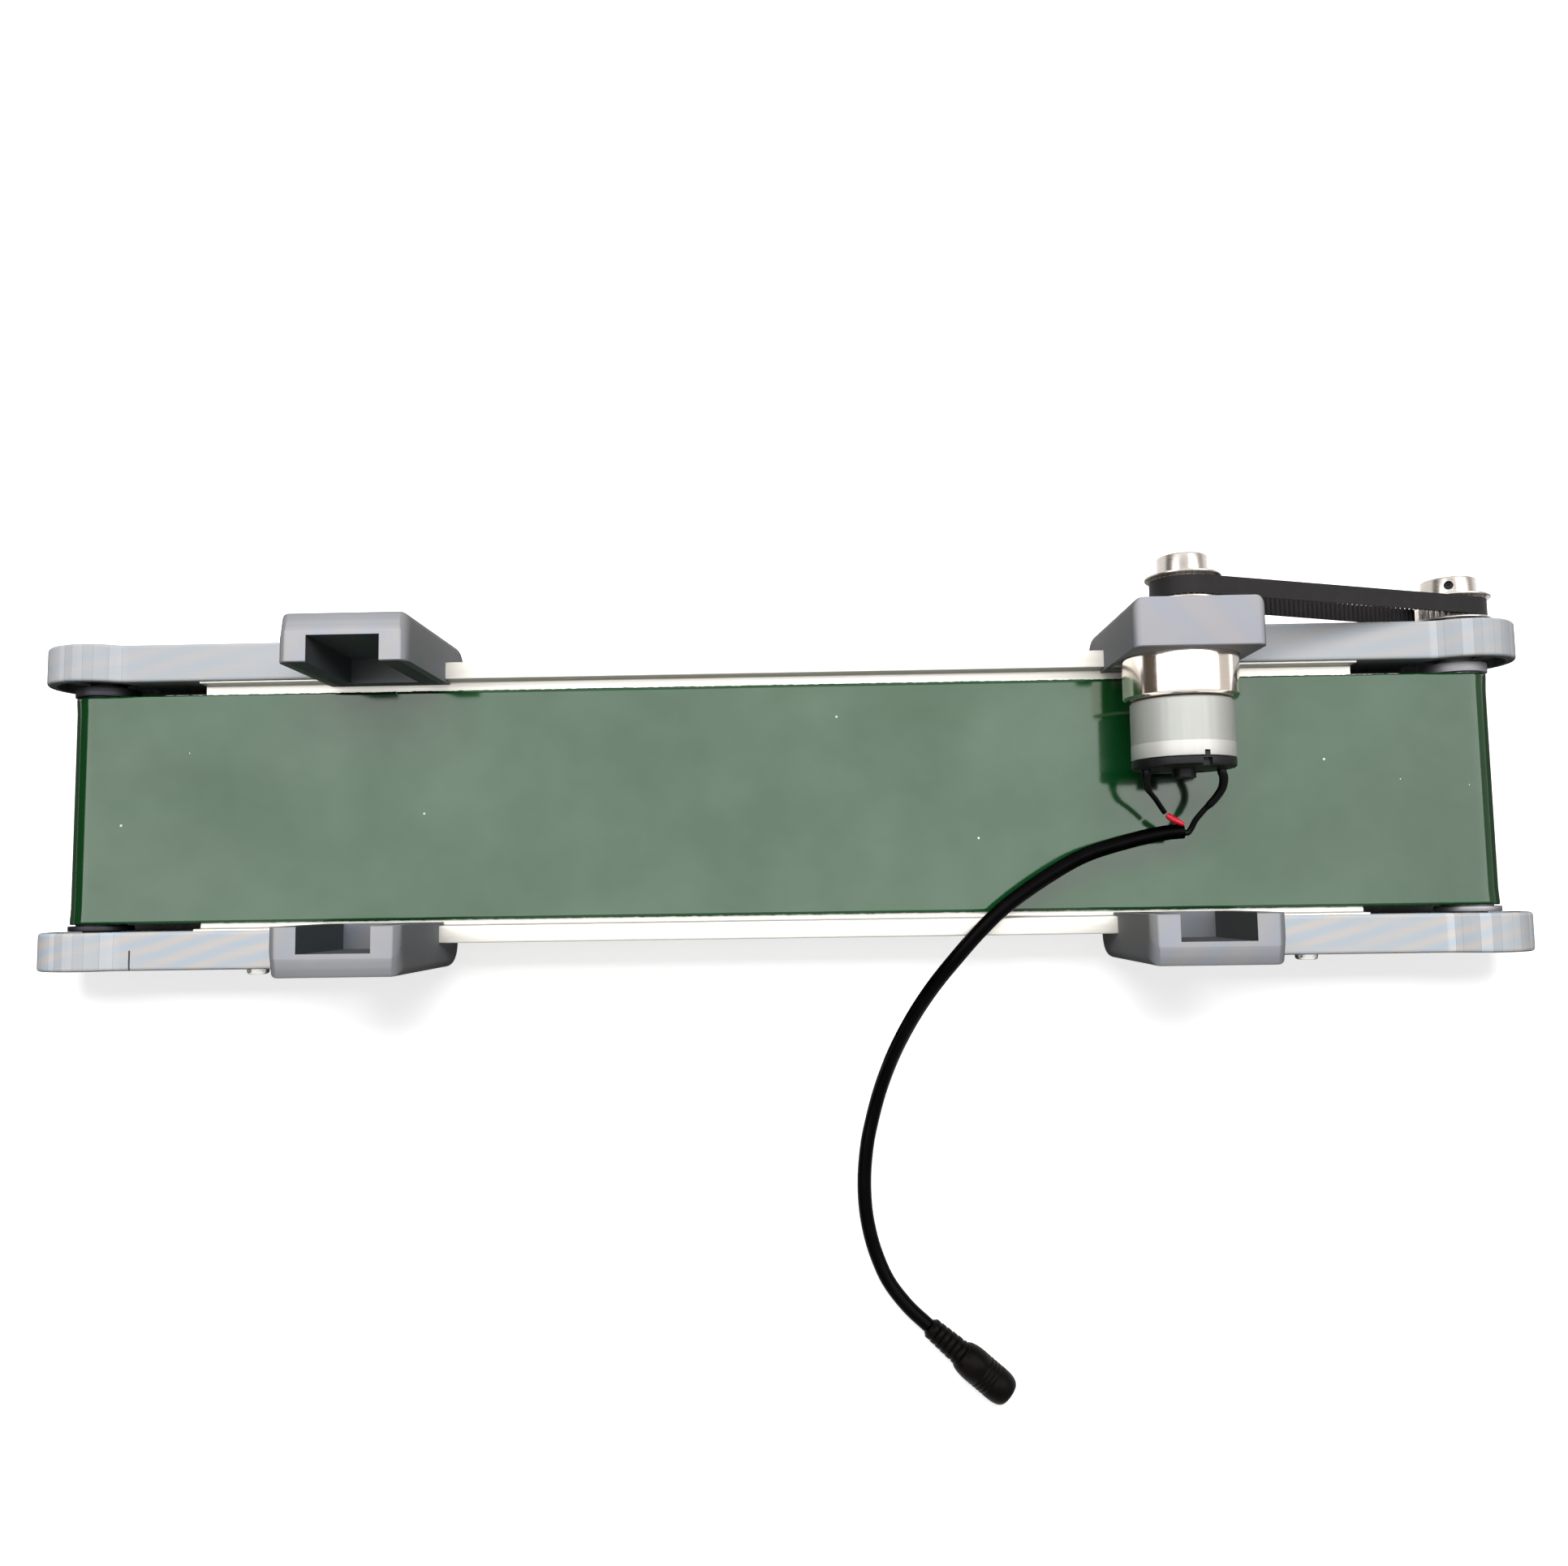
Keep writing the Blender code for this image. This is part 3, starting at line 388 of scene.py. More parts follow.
def printedPlastic(name, shade, blue, cream, tint, layerAxis, bandSize, bandTurn, facets=0.0,
                   sides=(0.0, 0.6), gloss=0.68, specular=0.12):
    # Grey PLA, printed in fine layers: satin, with hair lines along each layer. Soft blue and
    # cream bands are painted shimmer. Layers are 0.12 mm; drawn at 0.45 mm.
    # oneWave is the scale at which a wave texture repeats once a unit.
    look = {"layer": 0.45, "lined": (0.94, 1.03), "streak": (1.1, 40), "oneWave": 0.314,
            "patch": (30, 12, 12), "flat": 3.6, "flatsFrom": 224, "tipFrom": 253,
            "tipShade": 0.72, "seam": 0.035, "seamDull": 0.75, "sideShade": 0.55,
            "poreCell": 9.0, "poreSize": 0.035, "pore": "#6a6866"}
    made, add, shader, place = newMaterial(name, shade, gloss, IOR=1.46,
                                           Specular_IOR_Level=specular)
    # Painted shimmer: blue and cream bands, stronger in patches.
    bands = pattern(place, "TexWave", bandSize, {
        "Scale": look["oneWave"], "Distortion": 2.6, "Detail": 1.5, "Detail Scale": 0.3},
        bandTurn, "Fac", bands_direction="Y")
    paintedShimmer = add("ValToRGB", (bands,), ramp=((0.05, cream), (0.95, blue), (0.5, shade)))
    patches = pattern(place, "TexNoise", look["patch"])
    amount = add("MapRange", (patches, 0.32, 0.55, 0.0, tint))
    tone = add("Mix", (amount, shade, paintedShimmer), data_type="RGBA")
    layers = pattern(place, "TexWave", look["layer"], {
        "Scale": look["oneWave"], "Distortion": 0.4, "Detail": 1.0}, out="Fac",
        bands_direction=layerAxis)
    short, long = look["streak"]
    streak = pattern(place, "TexNoise", [short if axis == layerAxis else long
                                         for axis in "XYZ"])
    fine = add("Math", (layers, streak), operation="MULTIPLY")
    # The round ends were printed in flats of uneven width: each gets its own painted shade,
    # from a little darker to a little lighter, with a thin seam between two of them, and the very
    # tip is darkened with painted shade.
    far = add("SeparateXYZ", (place,))
    reach = add("Math", (far,), operation="ABSOLUTE")
    along = add("Math", (far, 1 / (look["flat"] * mm)), operation="MULTIPLY")
    flats, gap = (add("TexVoronoi", {"W": along, "Scale": 1.0}, out, voronoi_dimensions="1D",
                      feature=feature)
                  for out, feature in (("Color", "F1"), ("Distance", "DISTANCE_TO_EDGE")))
    panel = add("SeparateColor", (flats,))
    tipFrom, flatsFrom = look["tipFrom"], look["flatsFrom"]
    flatsShade = add("MapRange", (panel, 0.0, 1.0, 1 - facets * 0.6, 1 + facets))
    for steps in ((gap, 0.0, look["seam"], look["seamDull"] if facets else 1.0),
                  (reach, tipFrom * mm, (tipFrom + 3) * mm, 1.0, look["tipShade"])):
        flatsShade = add("Math", (flatsShade, add("MapRange", steps)), operation="MULTIPLY")
    nearEnd = add("MapRange", (reach, flatsFrom * mm, (flatsFrom + 1) * mm))
    shaded = add("Mix", (nearEnd, 1.0, flatsShade))
    # Faces that turn away from straight up are darkened by their normal: painted shade.
    facing = add("SeparateXYZ", (add("NewGeometry", out="Normal"),), "Z")
    for steps in ((facing, *sides, look["sideShade"]), (fine, 0.0, 1.0, *look["lined"])):
        shaded = add("Math", (shaded, add("MapRange", steps)), operation="MULTIPLY")
    printed = add("VectorMath", (tone, shaded), operation="SCALE")
    cell = pattern(place, "TexVoronoi", look["poreCell"])
    pore = add("Math", (cell, look["poreSize"]), operation="LESS_THAN")
    paint(shader, layers, 0.012, Base_Color=(pore, printed, look["pore"]))
    return made


def workedMetal(name, shade, mark, roughness, grain, axes="Y", depth=0.006, long=60, metal=1.0,
                sheen=None):
    # Metal with the lines of the tool or die that made it, fine across the given axes and
    # long along the rest, drawn coarser than they are.
    made, _, shader, place = newMaterial(name, shade, roughness, metal)
    size = [grain if letter in axes else long for letter in "XYZ"]
    lines = pattern(place, "TexNoise", size, {"Detail": 3.0})
    low, high = sheen or (roughness * 0.75, roughness * 1.3)
    paint(shader, lines, depth, Base_Color=(lines, shade, mark),
          Roughness=(lines, 0.0, 1.0, low, high))
    return made


def mouldedPolymer(name, shade, scuff, roughness, grain, depth, specular=0.3):
    # Moulded plastic or rubber: even colour, fine matt grain and slight scuffing.
    made, add, shader, place = newMaterial(name, shade, roughness, Specular_IOR_Level=specular)
    patches = pattern(place, "TexNoise", grain * 14, {"Detail": 4.0})
    worn = add("MapRange", (patches, 0.5, 0.8))
    paint(shader, pattern(place, "TexNoise", grain, {"Detail": 3.0}), depth,
          Base_Color=(worn, shade, scuff),
          Roughness=(patches, 0.0, 1.0, roughness * 0.85, roughness * 1.2))
    return made


pvcBelt = beltPvc()
clothBelt = beltCloth()
# The far plates take a darker copy of the near plates' print: painted shade.
nearPrint = printedPlastic("layered_pla_near_plates", "#cfd2d5", "#bccfe1", "#e3d6cd", 0.5,
                           "Y", 5.6, -16, 0.2)
farShadePrint = printedPlastic("layered_pla_far_plates_painted_shade", "#bfc2c6", "#b6c0ca", "#cac4c2", 0.4,
                          "Y", 7.0, -14, 0.16)
# The feet slope a little along their outer edge, and the slope is darkened by its normal: painted
# shade.
footPrint = printedPlastic("layered_pla_feet", "#b5b6bb", "#adb4c2", "#bdb8b5", 0.4,
                           "Z", 14.0, -62, sides=(0.945, 0.995))
# The bracket's sides are darkened strongly by their normal: painted shade.
bracketPrint = printedPlastic("layered_pla_bracket", "#acacb2", "#a3aabb", "#b8b1ac", 0.3,
                              "Z", 17.0, 50, sides=(0.3, 0.9))
# Inside the pockets the print takes a darker copy of the feet's colour: painted shade.
pocketShadePrint = printedPlastic("layered_pla_pockets_painted_shade", "#717578", "#6a7280", "#7a7774", 0.4,
                             "Z", 14.0, -62)
# Their floors shine a little, as they were printed against the smooth plate, and their colour is
# darker still: painted shade.
pocketFloor = printedPlastic("layered_pla_pocket_floors_painted_shade", "#5f6266", "#596070", "#666462", 0.4,
                             "Z", 14.0, -62, gloss=0.4, specular=0.5)
# 6063 aluminium, extruded and clear anodised: pale satin with die lines along its length.
# Real die lines are under 0.1 mm apart; drawn at 0.5 mm.
railMetal = workedMetal("anodised_aluminium", "#dedad2", "#cbc8c1", 0.45, 0.5, "YZ", 0.01, 160,
                        0.45, (0.28, 0.6))
# Machined aluminium pulleys and rollers: warm bright faces with fine rings from the tool.
pulleyMetal = workedMetal("turned_aluminium", "#ada7a1", "#98928c", 0.28, 0.35)
# Nickel plate over a polished steel shell: a warm mirror with a very slight haze.
nickelPlate = workedMetal("polished_nickel_plate", "#eee5dd", "#e3d9d0", 0.13, 1.6, depth=0.002)
# Zinc-plated drawn steel: pale, soft satin with drawing lines along the can.
zincCan = workedMetal("satin_zinc_plate", "#aaaba6", "#a1a29d", 0.5, 0.5, "X", 0.004, 30, 0.15)
# The last few millimetres of the can are smoother, and lighter in colour: painted highlight.
zincBandHighlight = workedMetal("zinc_band_painted_highlight", "#c3c2be", "#bab9b5", 0.45, 0.5, "X", 0.004, 30, 0.15)
# Anodised rollers, duller than the pulleys, with the same fine rings: grey at the drive end;
# the tail roller takes a near-black copy, painted shade.
rollerMetal = {"drive": workedMetal("grey_anodised_aluminium", "#8f8e91", "#7d7c80", 0.55, 0.35),
               "tail": workedMetal("tail_roller_aluminium_painted_shade", "#3a393e", "#2e2d31", 0.5, 0.35)}
groundSteel = workedMetal("ground_bearing_steel", "#b9b8b6", "#a5a4a2", 0.22, 0.3)
zincScrew = workedMetal("zinc_plated_screw", "#e2e1dc", "#cdccc8", 0.3, 0.6)
cutSteel = workedMetal("hobbed_gear_steel", "#aaa8a4", "#8f8d8a", 0.35, 0.4)
tinnedBrass = workedMetal("tinned_brass", "#cfcac0", "#b9b2a4", 0.36, 0.5)
# Copper windings and steel laminations of the armature, varnished.
armatureMetal = workedMetal("varnished_armature", "#a4623d", "#6d4733", 0.4, 0.5)
# Black oxide on alloy steel screws: dark, slightly oily.
blackOxide = workedMetal("black_oxide_steel", "#2b2b2d", "#1d1d1f", 0.36, 0.5)
# Sintered ferrite magnet: dull, dark and slightly grainy.
ferrite = mouldedPolymer("sintered_ferrite", "#2a2a2c", "#3b3a3a", 0.7, 0.6, 0.02)
# Nylon cap, neoprene belt and PVC jacket and plug: blacks that differ in sheen and grain.
capPlastic = mouldedPolymer("moulded_nylon_black", "#101011", "#191919", 0.42, 0.35, 0.006, 0.17)
beltRubber = mouldedPolymer("moulded_neoprene", "#1b191a", "#252324", 0.6, 0.5, 0.012, 0.15)
jacketPvc = mouldedPolymer("extruded_pvc_jacket", "#010101", "#050404", 0.32, 0.4, 0.004, 0.03)
plugPvc = mouldedPolymer("moulded_pvc_plug", "#060403", "#110c0a", 0.42, 0.5, 0.008, 0.05)
# Polyolefin shrink tube, shrunk by heat: a slightly wavy, waxy skin.
shrinkBlack = mouldedPolymer("heat_shrink_black", "#040405", "#0b0b0e", 0.3, 0.9, 0.03, 0.09)
shrinkRed = mouldedPolymer("heat_shrink_red", "#d3102f", "#ef4a5f", 0.26, 0.9, 0.03)
sealRubber = mouldedPolymer("bearing_seal_rubber", "#1b1b1c", "#29292a", 0.5, 0.5, 0.01)
print("materials ready")


wiring = {"lead": 1.1, "cable": 2.5, "bossTall": 2.8, "plugAxis": (0.76, -0.65, 0.0),
          "joint": 0.3, "reliefLong": 14.0, "reliefRadius": 3.7, "ribs": 5, "jackLong": 21.0,
          "jackRadius": 6.0, "bore": 2.8, "boreDeep": 9.5, "pin": 1.0, "leadStep": 0.6,
          "sleeveStep": 0.4, "cableStep": 2.0}
motorAxis = middleOf("motor_can")
capBack = cadSpan("motor_end_cap")[0].y + wiring["bossTall"]
motorBack = Vector((motorAxis.x, capBack, motorAxis.z))
cableDatum = Vector((motorAxis.x, capBack, 0.0))
leadLeft = ((-12.3, -0.9, 0.0), (-12.2, -3.3, -0.6), (-11.2, -6.3, -2.2), (-8.3, -9.3, -4.7),
            (-6.3, -11.6, -6.6), (-4.7, -13.5, -7.75))
sleeveRoute = ((-4.0, -14.2, -7.9), (-2.4, -15.5, -7.75), (-0.4, -16.7, -7.4), (1.4, -17.7, -7.2))
leadRight = ((12.2, -0.9, 0.0), (12.9, -2.9, -0.6), (12.7, -6.2, -2.2), (10.7, -9.7, -4.3),
             (7.9, -12.9, -6.5), (5.6, -16.1, -8.6), (4.5, -18.7, -10.0), (3.4, -20.2, -10.5))
leadTip = (2.3, -20.0, -10.5)
cableRoute = ((2.0, -19.6, 22.5), (-4.0, -20.1, 22.3), (-14.0, -22.1, 22.0), (-30.0, -26.8, 21.4),
              (-43.5, -34.1, 20.4), (-56.8, -43.4, 19.0), (-65.5, -51.5, 17.6),
              (-73.6, -60.8, 14.6), (-80.8, -70.3, 9.0), (-86.7, -80.0, 1.8),
              (-91.5, -89.7, -5.4), (-95.4, -99.1, -11.2), (-98.7, -108.6, -15.0),
              (-101.4, -118.2, -16.7), (-103.6, -127.9, -16.8), (-104.8, -139.1, -16.8),
              (-104.6, -149.8, -16.8), (-103.1, -159.1, -16.8), (-100.6, -167.4, -16.7),
              (-96.8, -175.5, -15.9), (-90.5, -183.3, -14.4), (-83.6, -189.5, -13.4))


def smoothRoute(route, origin, step):
    # Even points along a Catmull-Rom curve through the route, and its length.
    knots = [Vector(point) + origin for point in route]
    knots = [2 * knots[0] - knots[1], *knots, 2 * knots[-1] - knots[-2]]
    fine, parts = [], 24
    for a, b, c, d in zip(knots, knots[1:], knots[2:], knots[3:]):
        for t in (k / parts for k in range(parts)):
            fine.append(0.5 * (2 * b + (c - a) * t + (2 * a - 5 * b + 4 * c - d) * t ** 2
                               + (3 * b - a - 3 * c + d) * t ** 3))
    fine.append(knots[-2])
    travelled = [0.0]
    for a, b in zip(fine, fine[1:]):
        travelled.append(travelled[-1] + (b - a).length)
    count = max(2, round(travelled[-1] / step))
    points, k = [], 0
    for i in range(count + 1):
        target = travelled[-1] * i / count
        while k < len(fine) - 2 and travelled[k + 1] < target:
            k += 1
        part = (target - travelled[k]) / (travelled[k + 1] - travelled[k])
        points.append(fine[k].lerp(fine[k + 1], part))
    return points, travelled[-1]


def wire(name, route, origin, step, widths, finish, node, slot):
    # widths are (share of the length, radius) pairs that the bevel follows.
    points, length = smoothRoute(route, origin, step)
    curve = bpy.data.curves.new(name, "CURVE")
    curve.dimensions = "3D"
    curve.bevel_depth = mm
    curve.bevel_resolution = 6
    curve.use_fill_caps = True
    curve.materials.append(finish)
    line = curve.splines.new("POLY")
    line.points.add(len(points) - 1)
    for i, (knot, point) in enumerate(zip(line.points, points)):
        share = i / (len(points) - 1)
        knot.co = (*(point * mm + datum), 1)
        before = [pair for pair in widths if pair[0] <= share][-1]
        after = [pair for pair in widths if pair[0] >= share][0]
        gap = after[0] - before[0]
        part = (share - before[0]) / gap if gap else 0.0
        knot.radius = before[1] + (after[1] - before[1]) * part
    line.use_smooth = True
    return fitted(added(name, curve), [node], slot), length


def makePlug():
    axis = Vector(wiring["plugAxis"]).normalized()
    turn = Vector((0, 1, 0)).rotation_difference(axis).to_matrix().to_4x4()
    start = cableDatum + Vector(cableRoute[-1]) + axis * wiring["joint"]
    long, radius, ribs = wiring["reliefLong"], wiring["reliefRadius"], wiring["ribs"]
    atBoot = Matrix.Translation(start) @ turn
    atJack = Matrix.Translation(start + axis * (long + wiring["joint"])) @ turn
    rib = long / (ribs + 1)
    boot = [(0, 0), (2.55, 0), (2.9, 0.25), (3.3, 1.0)]
    for i in range(ribs):
        low, out = rib * (i + 0.35), radius + 0.14 * i - 0.02
        high = low + rib * 0.88
        boot += [(out - 0.6, low), (out - 0.1, low + 0.18), (out, low + 0.4), (out, high - 0.4),
                 (out - 0.1, high - 0.18), (out - 0.6, high)]
    boot += [(radius + 0.6, long - 1.0), (radius + 0.7, long - 0.4), (radius + 0.6, long),
             (0, long)]

    long, radius = wiring["jackLong"], wiring["jackRadius"]
    hole, mouth = wiring["bore"], long - wiring["boreDeep"]
    barrel = [(0, 0), (0.74, 0), (0.79, 0.25), (0.88, 1.2), (0.96, 3.2), (0.995, 5.4)]
    for low in (8.6, 10.1, 11.6, 13.1):
        barrel += [(0.995, low), (0.965, low + 0.28), (0.965, low + 0.62), (0.995, low + 0.9)]
    barrel += [(0.985, long - 4.0), (0.955, long - 2.6), (0.9, long - 1.4), (0.82, long - 0.5),
               (0.74, long)]
    barrel = [(share * radius, y) for share, y in barrel]
    barrel += [(hole + 0.35, long), (hole, long - 0.35), (hole, mouth), (0, mouth)]
    pin = [(0, mouth), (wiring["pin"], mouth), (wiring["pin"], long - 1.7), (0.7, long - 1.3),
           (0, long - 1.2)]
    made = []
    for name, profile, steps, place, finish, nodes, slot, smooth in (
            ("strain_relief_boot", boot, 48, atBoot, plugPvc, ["strain_relief"],
             "black_plastic", 50),
            ("power_jack", barrel, 56, atJack, plugPvc, ["dc_jack"], "black_plastic", 50),
            ("power_jack_pin", pin, 24, atJack, zincScrew, [], "screw_steel", 30)):
        shape = turned(profile, steps)
        shape.transform(place)
        made.append(piece(name, shape, finish, nodes, slot, smooth=smooth))
    return made


def fromCap(route):
    # Shrink tube hides the terminal, right up to the cap.
    return (route[0][0], -0.05, route[0][2]), *route


thick = wiring["lead"]
for name, route, step, widths, finish, node, slot in (
        ("lead_left_wire", fromCap(leadLeft), wiring["leadStep"],
         ((0, 1.5), (0.12, 1.45), (0.18, thick), (0.4, thick), (0.45, 0.85), (1, 0.85)),
         shrinkBlack, "lead_left", "black_wire"),
        ("lead_right_wire", (*fromCap(leadRight), leadTip), wiring["leadStep"],
         ((0, 1.5), (0.1, 1.45), (0.5, 1.25), (0.56, 0.95), (1, 1.0)),
         shrinkBlack, "lead_right", "black_wire"),
        ("red_sleeve_wire", sleeveRoute, wiring["sleeveStep"],
         ((0, 0.75), (0.12, thick), (0.6, thick), (0.9, 0.8), (1, 0.5)),
         shrinkRed, "red_sleeve", "red_wire")):
    wire(name, route, motorBack, step, widths, finish, node, slot)
cable, cableLength = wire("power_cord", cableRoute, cableDatum, wiring["cableStep"],
                          ((0, wiring["cable"]), (1, wiring["cable"])), jacketPvc,
                          "power_cable", "black_wire")
plugPieces = makePlug()
print(f"cable laid, {cableLength:.0f} mm")


sides = {"far": 1, "near": -1}
ends = {"drive": 1, "tail": -1}
bed = {"bedHalf": 8.2, "web": 42.5, "wall": 1.6, "chambers": 4, "edge": 0.45, "corner": 0.6,
       "chamberCorner": 0.8, "endEdge": 0.12}
bedEnd, flangeOuter, flangeHalf = cadSpan("conveyor_profile")[1]


def makeBed():
    web, half = bed["web"], bed["bedHalf"]
    outline = []
    for y, z in ((1, 1), (-1, 1), (-1, -1), (1, -1)):
        corner = [(y * web, z * half, bed["corner"]), (y * web, z * flangeHalf, bed["edge"]),
                  (y * flangeOuter, z * flangeHalf, bed["edge"])]
        outline += corner[::-1] if y * z > 0 else corner
    span = (2 * web - bed["wall"] * (bed["chambers"] + 1)) / bed["chambers"]
    top, corner = half - bed["wall"], bed["chamberCorner"]
    chambers = []
    for i in range(bed["chambers"]):
        left = -web + bed["wall"] + i * (span + bed["wall"])
        chambers.append(fillet([(left, -top, corner), (left + span, -top, corner),
                                (left + span, top, corner), (left, top, corner)], 3))
    piece("bed_extrusion", slab(fillet(outline, 4), -bedEnd, bedEnd, "x", bed["endEdge"], 1,
                                chambers), railMetal, ["conveyor_profile"], "bed_aluminium")


def loopTrack(first, second):
    # A belt's way round two circles (x, z, radius): a function that gives the point at a
    # distance along it, set out by growth, and the lengths of its four parts.
    along = math.atan2(second[1] - first[1], second[0] - first[0])
    apart = math.hypot(second[0] - first[0], second[1] - first[1])
    opening = math.acos((first[2] - second[2]) / apart)
    span = math.sqrt(apart ** 2 - (first[2] - second[2]) ** 2)
    arcTwo, arcOne = 2 * opening * second[2], 2 * (math.pi - opening) * first[2]
    parts = (arcTwo, span, arcOne, span)

    def at(distance, growth):
        s = distance % sum(parts)
        centre, turn, slide = second, along + opening, 0.0
        if s < arcTwo:
            turn = along - opening + s / second[2]
        elif s < arcTwo + span:
            slide = s - arcTwo
        elif s < arcTwo + span + arcOne:
            centre, turn = first, along + opening + (s - arcTwo - span) / first[2]
        else:
            centre, turn, slide = first, along - opening, s - arcTwo - span - arcOne
        reach = centre[2] + growth
        return (centre[0] + reach * math.cos(turn) - slide * math.sin(turn),
                centre[1] + reach * math.sin(turn) + slide * math.cos(turn))
    return at, parts


def jitter(i, seed):
    # A repeatable number from -1 to 1.
    return math.sin(i * 12.9898 + seed * 78.233) * 43758.5453 % 2 - 1


def makeBelt():
    # Cut edges fray a little between the bed and the rollers, about every 1.8 mm.
    belt = {"thick": 1.5, "lift": 0.3, "cloth": 0.5, "pitch": 0.9, "arcSteps": 22, "fray": 0.3,
            "round": 0.25, "rim": 1.2, "cup": 0.25, "cupWide": 5.6}
    low, high = cadSpan("conveyor_belt")
    at, parts = loopTrack((middleOf("tail_roller").x, 0.0, bed["bedHalf"]),
                          (middleOf("drive_roller").x, 0.0, bed["bedHalf"]))
    stations, begin = [], 0.0
    for i, length in enumerate(parts):
        steps = int(length / belt["pitch"]) if i % 2 else belt["arcSteps"]
        stations += [begin + length * k / steps for k in range(steps)]
        begin += length
    top, clothTop = belt["lift"] + belt["thick"], belt["lift"] + belt["cloth"]
    shape = bmesh.new()
    rows = []
    for i, s in enumerate(stations):
        section = []
        for bound, way, seed in ((low.y, 1, 1), (high.y, -1, 2)):
            edge = bound + way * belt["fray"] * (0.5 + 0.5 * jitter(i, seed) * (i % 2))
            half = [(edge, belt["lift"]), (edge, clothTop), (edge, top - belt["round"]),
                    (edge + way * belt["round"], top), (bound + way * belt["rim"], top),
                    (bound + way * belt["cupWide"], top - belt["cup"])]
            section += half[::way]
        spots = [(y, at(s, growth)) for y, growth in section]
        rows.append([shape.verts.new((x, y, z)) for y, (x, z) in spots])
    skin(shape, rows + rows[:1])
    cloth = (0, 1, len(section) - 1)
    for i, face in enumerate(shape.faces):
        face.material_index = int(i % len(section) in cloth)
    piece("belt_loop", shape, [pvcBelt, clothBelt], ["conveyor_belt"], "conveyor_belt",
          smooth=55)


makeBed()
makeBelt()
print("bed and belt made")


plates = {"lip": 1.25, "slotGap": 0.3, "boss": 19.5, "fillet": 10.0, "edge": 1.1,
          "recess": 16.5, "recessTo": 46.2, "seat": 11.3, "seatTo": 53.5, "lipHole": 7.0,
          "slitWide": 0.6, "slitLong": 6.9, "slitDeep": 2.5, "slitFromAxis": 18.25,
          "screwsIn": (37.0, 17.0), "screwHole": 2.1, "flats": (6, 18)}
# Height and depth of the slot that lets printed parts over the bed's flange.
slotHalf, slotWall = flangeHalf + plates["slotGap"], flangeOuter + plates["slotGap"]


def across(side, inner, outer):
    # The span from inner to outer on one side of the bed.
    return sorted((side * inner, side * outer))


def bore(side, x, z, stages, steps=48):
    # A stepped round cutter: stages are (radius, from y, to y).
    profile = [(0, side * stages[0][1])]
    for radius, low, high in stages:
        profile += [(radius, side * low), (radius, side * high)]
    return turned([*profile, (0, side * stages[-1][2])], steps, (x, z))


def makePlate(endName, sideName):
    end, side = ends[endName], sides[sideName]
    node = f"{endName}_plate_{sideName}"
    inner, outer = wallsOf(node)
    armStart = min(abs(corner.x) for corner in cadSpan(node))
    axisX = abs(middleOf(f"{endName}_roller").x)
    rise = slotHalf + plates["lip"] + plates["fillet"]
    reach = plates["boss"] + plates["fillet"]
    lean = math.degrees(math.asin(rise / reach))
    filletX = axisX - math.sqrt(reach ** 2 - rise ** 2)
    # The round end is cut in flats, as the drawing it was printed from had it.
    filletFlats, bossFlats = plates["flats"]
    upper = [(armStart, rise - plates["fillet"])]
    upper += arc((filletX, rise), plates["fillet"], 270, 360 - lean, filletFlats)
    upper += arc((axisX, 0), plates["boss"], 180 - lean, 0, bossFlats)[1:]
    lower = [(x, -z) for x, z in upper[-2::-1]]
    body = slab([(end * x, z) for x, z in upper + lower], *across(side, inner, outer), "y",
                plates["edge"], 3)
    past = inner - overrun, outer + overrun
    cuts = [block(across(end, armStart - overrun, bedEnd + plates["slotGap"]),
                  across(side, past[0], slotWall), about(0, slotHalf)),
            bore(side, end * axisX, 0, [(plates["recess"], past[0], plates["recessTo"]),
                                        (plates["seat"], plates["recessTo"], plates["seatTo"]),
                                        (plates["lipHole"], plates["seatTo"], past[1])])]
    for inset in plates["screwsIn"]:
        cuts.append(bore(side, end * (bedEnd - inset), 0,
                         [(plates["screwHole"], flangeOuter, past[1])], 24))
    if node == "tail_plate_near":
        slitX = end * (axisX - plates["slitFromAxis"])
        top = slotHalf + plates["lip"]
        cuts.append(block(about(slitX, plates["slitWide"] / 2),
                          across(side, outer - plates["slitLong"], past[1]),
                          (top - plates["slitDeep"], top + 2 * overrun)))
    piece(f"{node}_print", combine(body, cuts=cuts), nearPrint if side < 0 else farShadePrint,
          [node], "printed_grey", smooth=5)


def makeScrew(node, finish):
    # A socket screw in place of its CAD node: domed head, hexagon socket, plain shank.
    low, high = cadSpan(node)
    centre, head = middleOf(node), radiusOf(node)
    side = 1 if centre.y > 0 else -1
    tip, top = sorted((low.y, high.y), key=abs)
    small = head < 3
    tall, shank, slope = (2.9, 1.2, 0.3) if small else (2.0, 1.7, 1.0)
    key, chamfer, seat = 1.44, 0.25, top - side * tall
    profile = [(0, tip), (shank - 0.3, tip), (shank, tip + side * 0.4), (shank, seat),
               (head - 0.1, seat), (head, seat + side * 0.15)]
    for turn in (part * math.pi / 2 for part in (0.35, 0.7, 0.9, 1.0)):
        profile.append((head - slope * (1 - math.cos(turn)),
                        top - side * (tall * 0.6) * (1 - math.sin(turn))))
    profile += [(key + chamfer, top), (key, top - side * 0.2, True),
                (key, top - side * tall * 0.55, True), (0, top - side * (tall * 0.62))]
    piece(f"{node}_cut", turned(profile, 36, (centre.x, centre.z)), finish, [node],
          "screw_steel", smooth=35)


for endName in ends:
    for sideName in sides:
        makePlate(endName, sideName)
        for count in (1, 2):
            makeScrew(f"{endName}_plate_{sideName}_screw_{count}", zincScrew)
print("end plates made")


feet = {"lip": 0.8, "bottomRound": 5.5, "round": 2.9, "bevel": (5.8, 1.2), "pocketWide": 23.3,
        "pocketBack": 7.3, "pocketFloor": 1.0, "hole": 2.1, "counterbore": 3.3,
        "boreRadius": 4.4, "soft": 0.35, "roundSteps": 7}
bracket = {"round": 3.2, "bevel": (0.6, 0.6), "wall": 7.8, "gap": 0.3, "noseHole": 6.5,
           "screwHole": 1.6, "screwSink": 3.0}


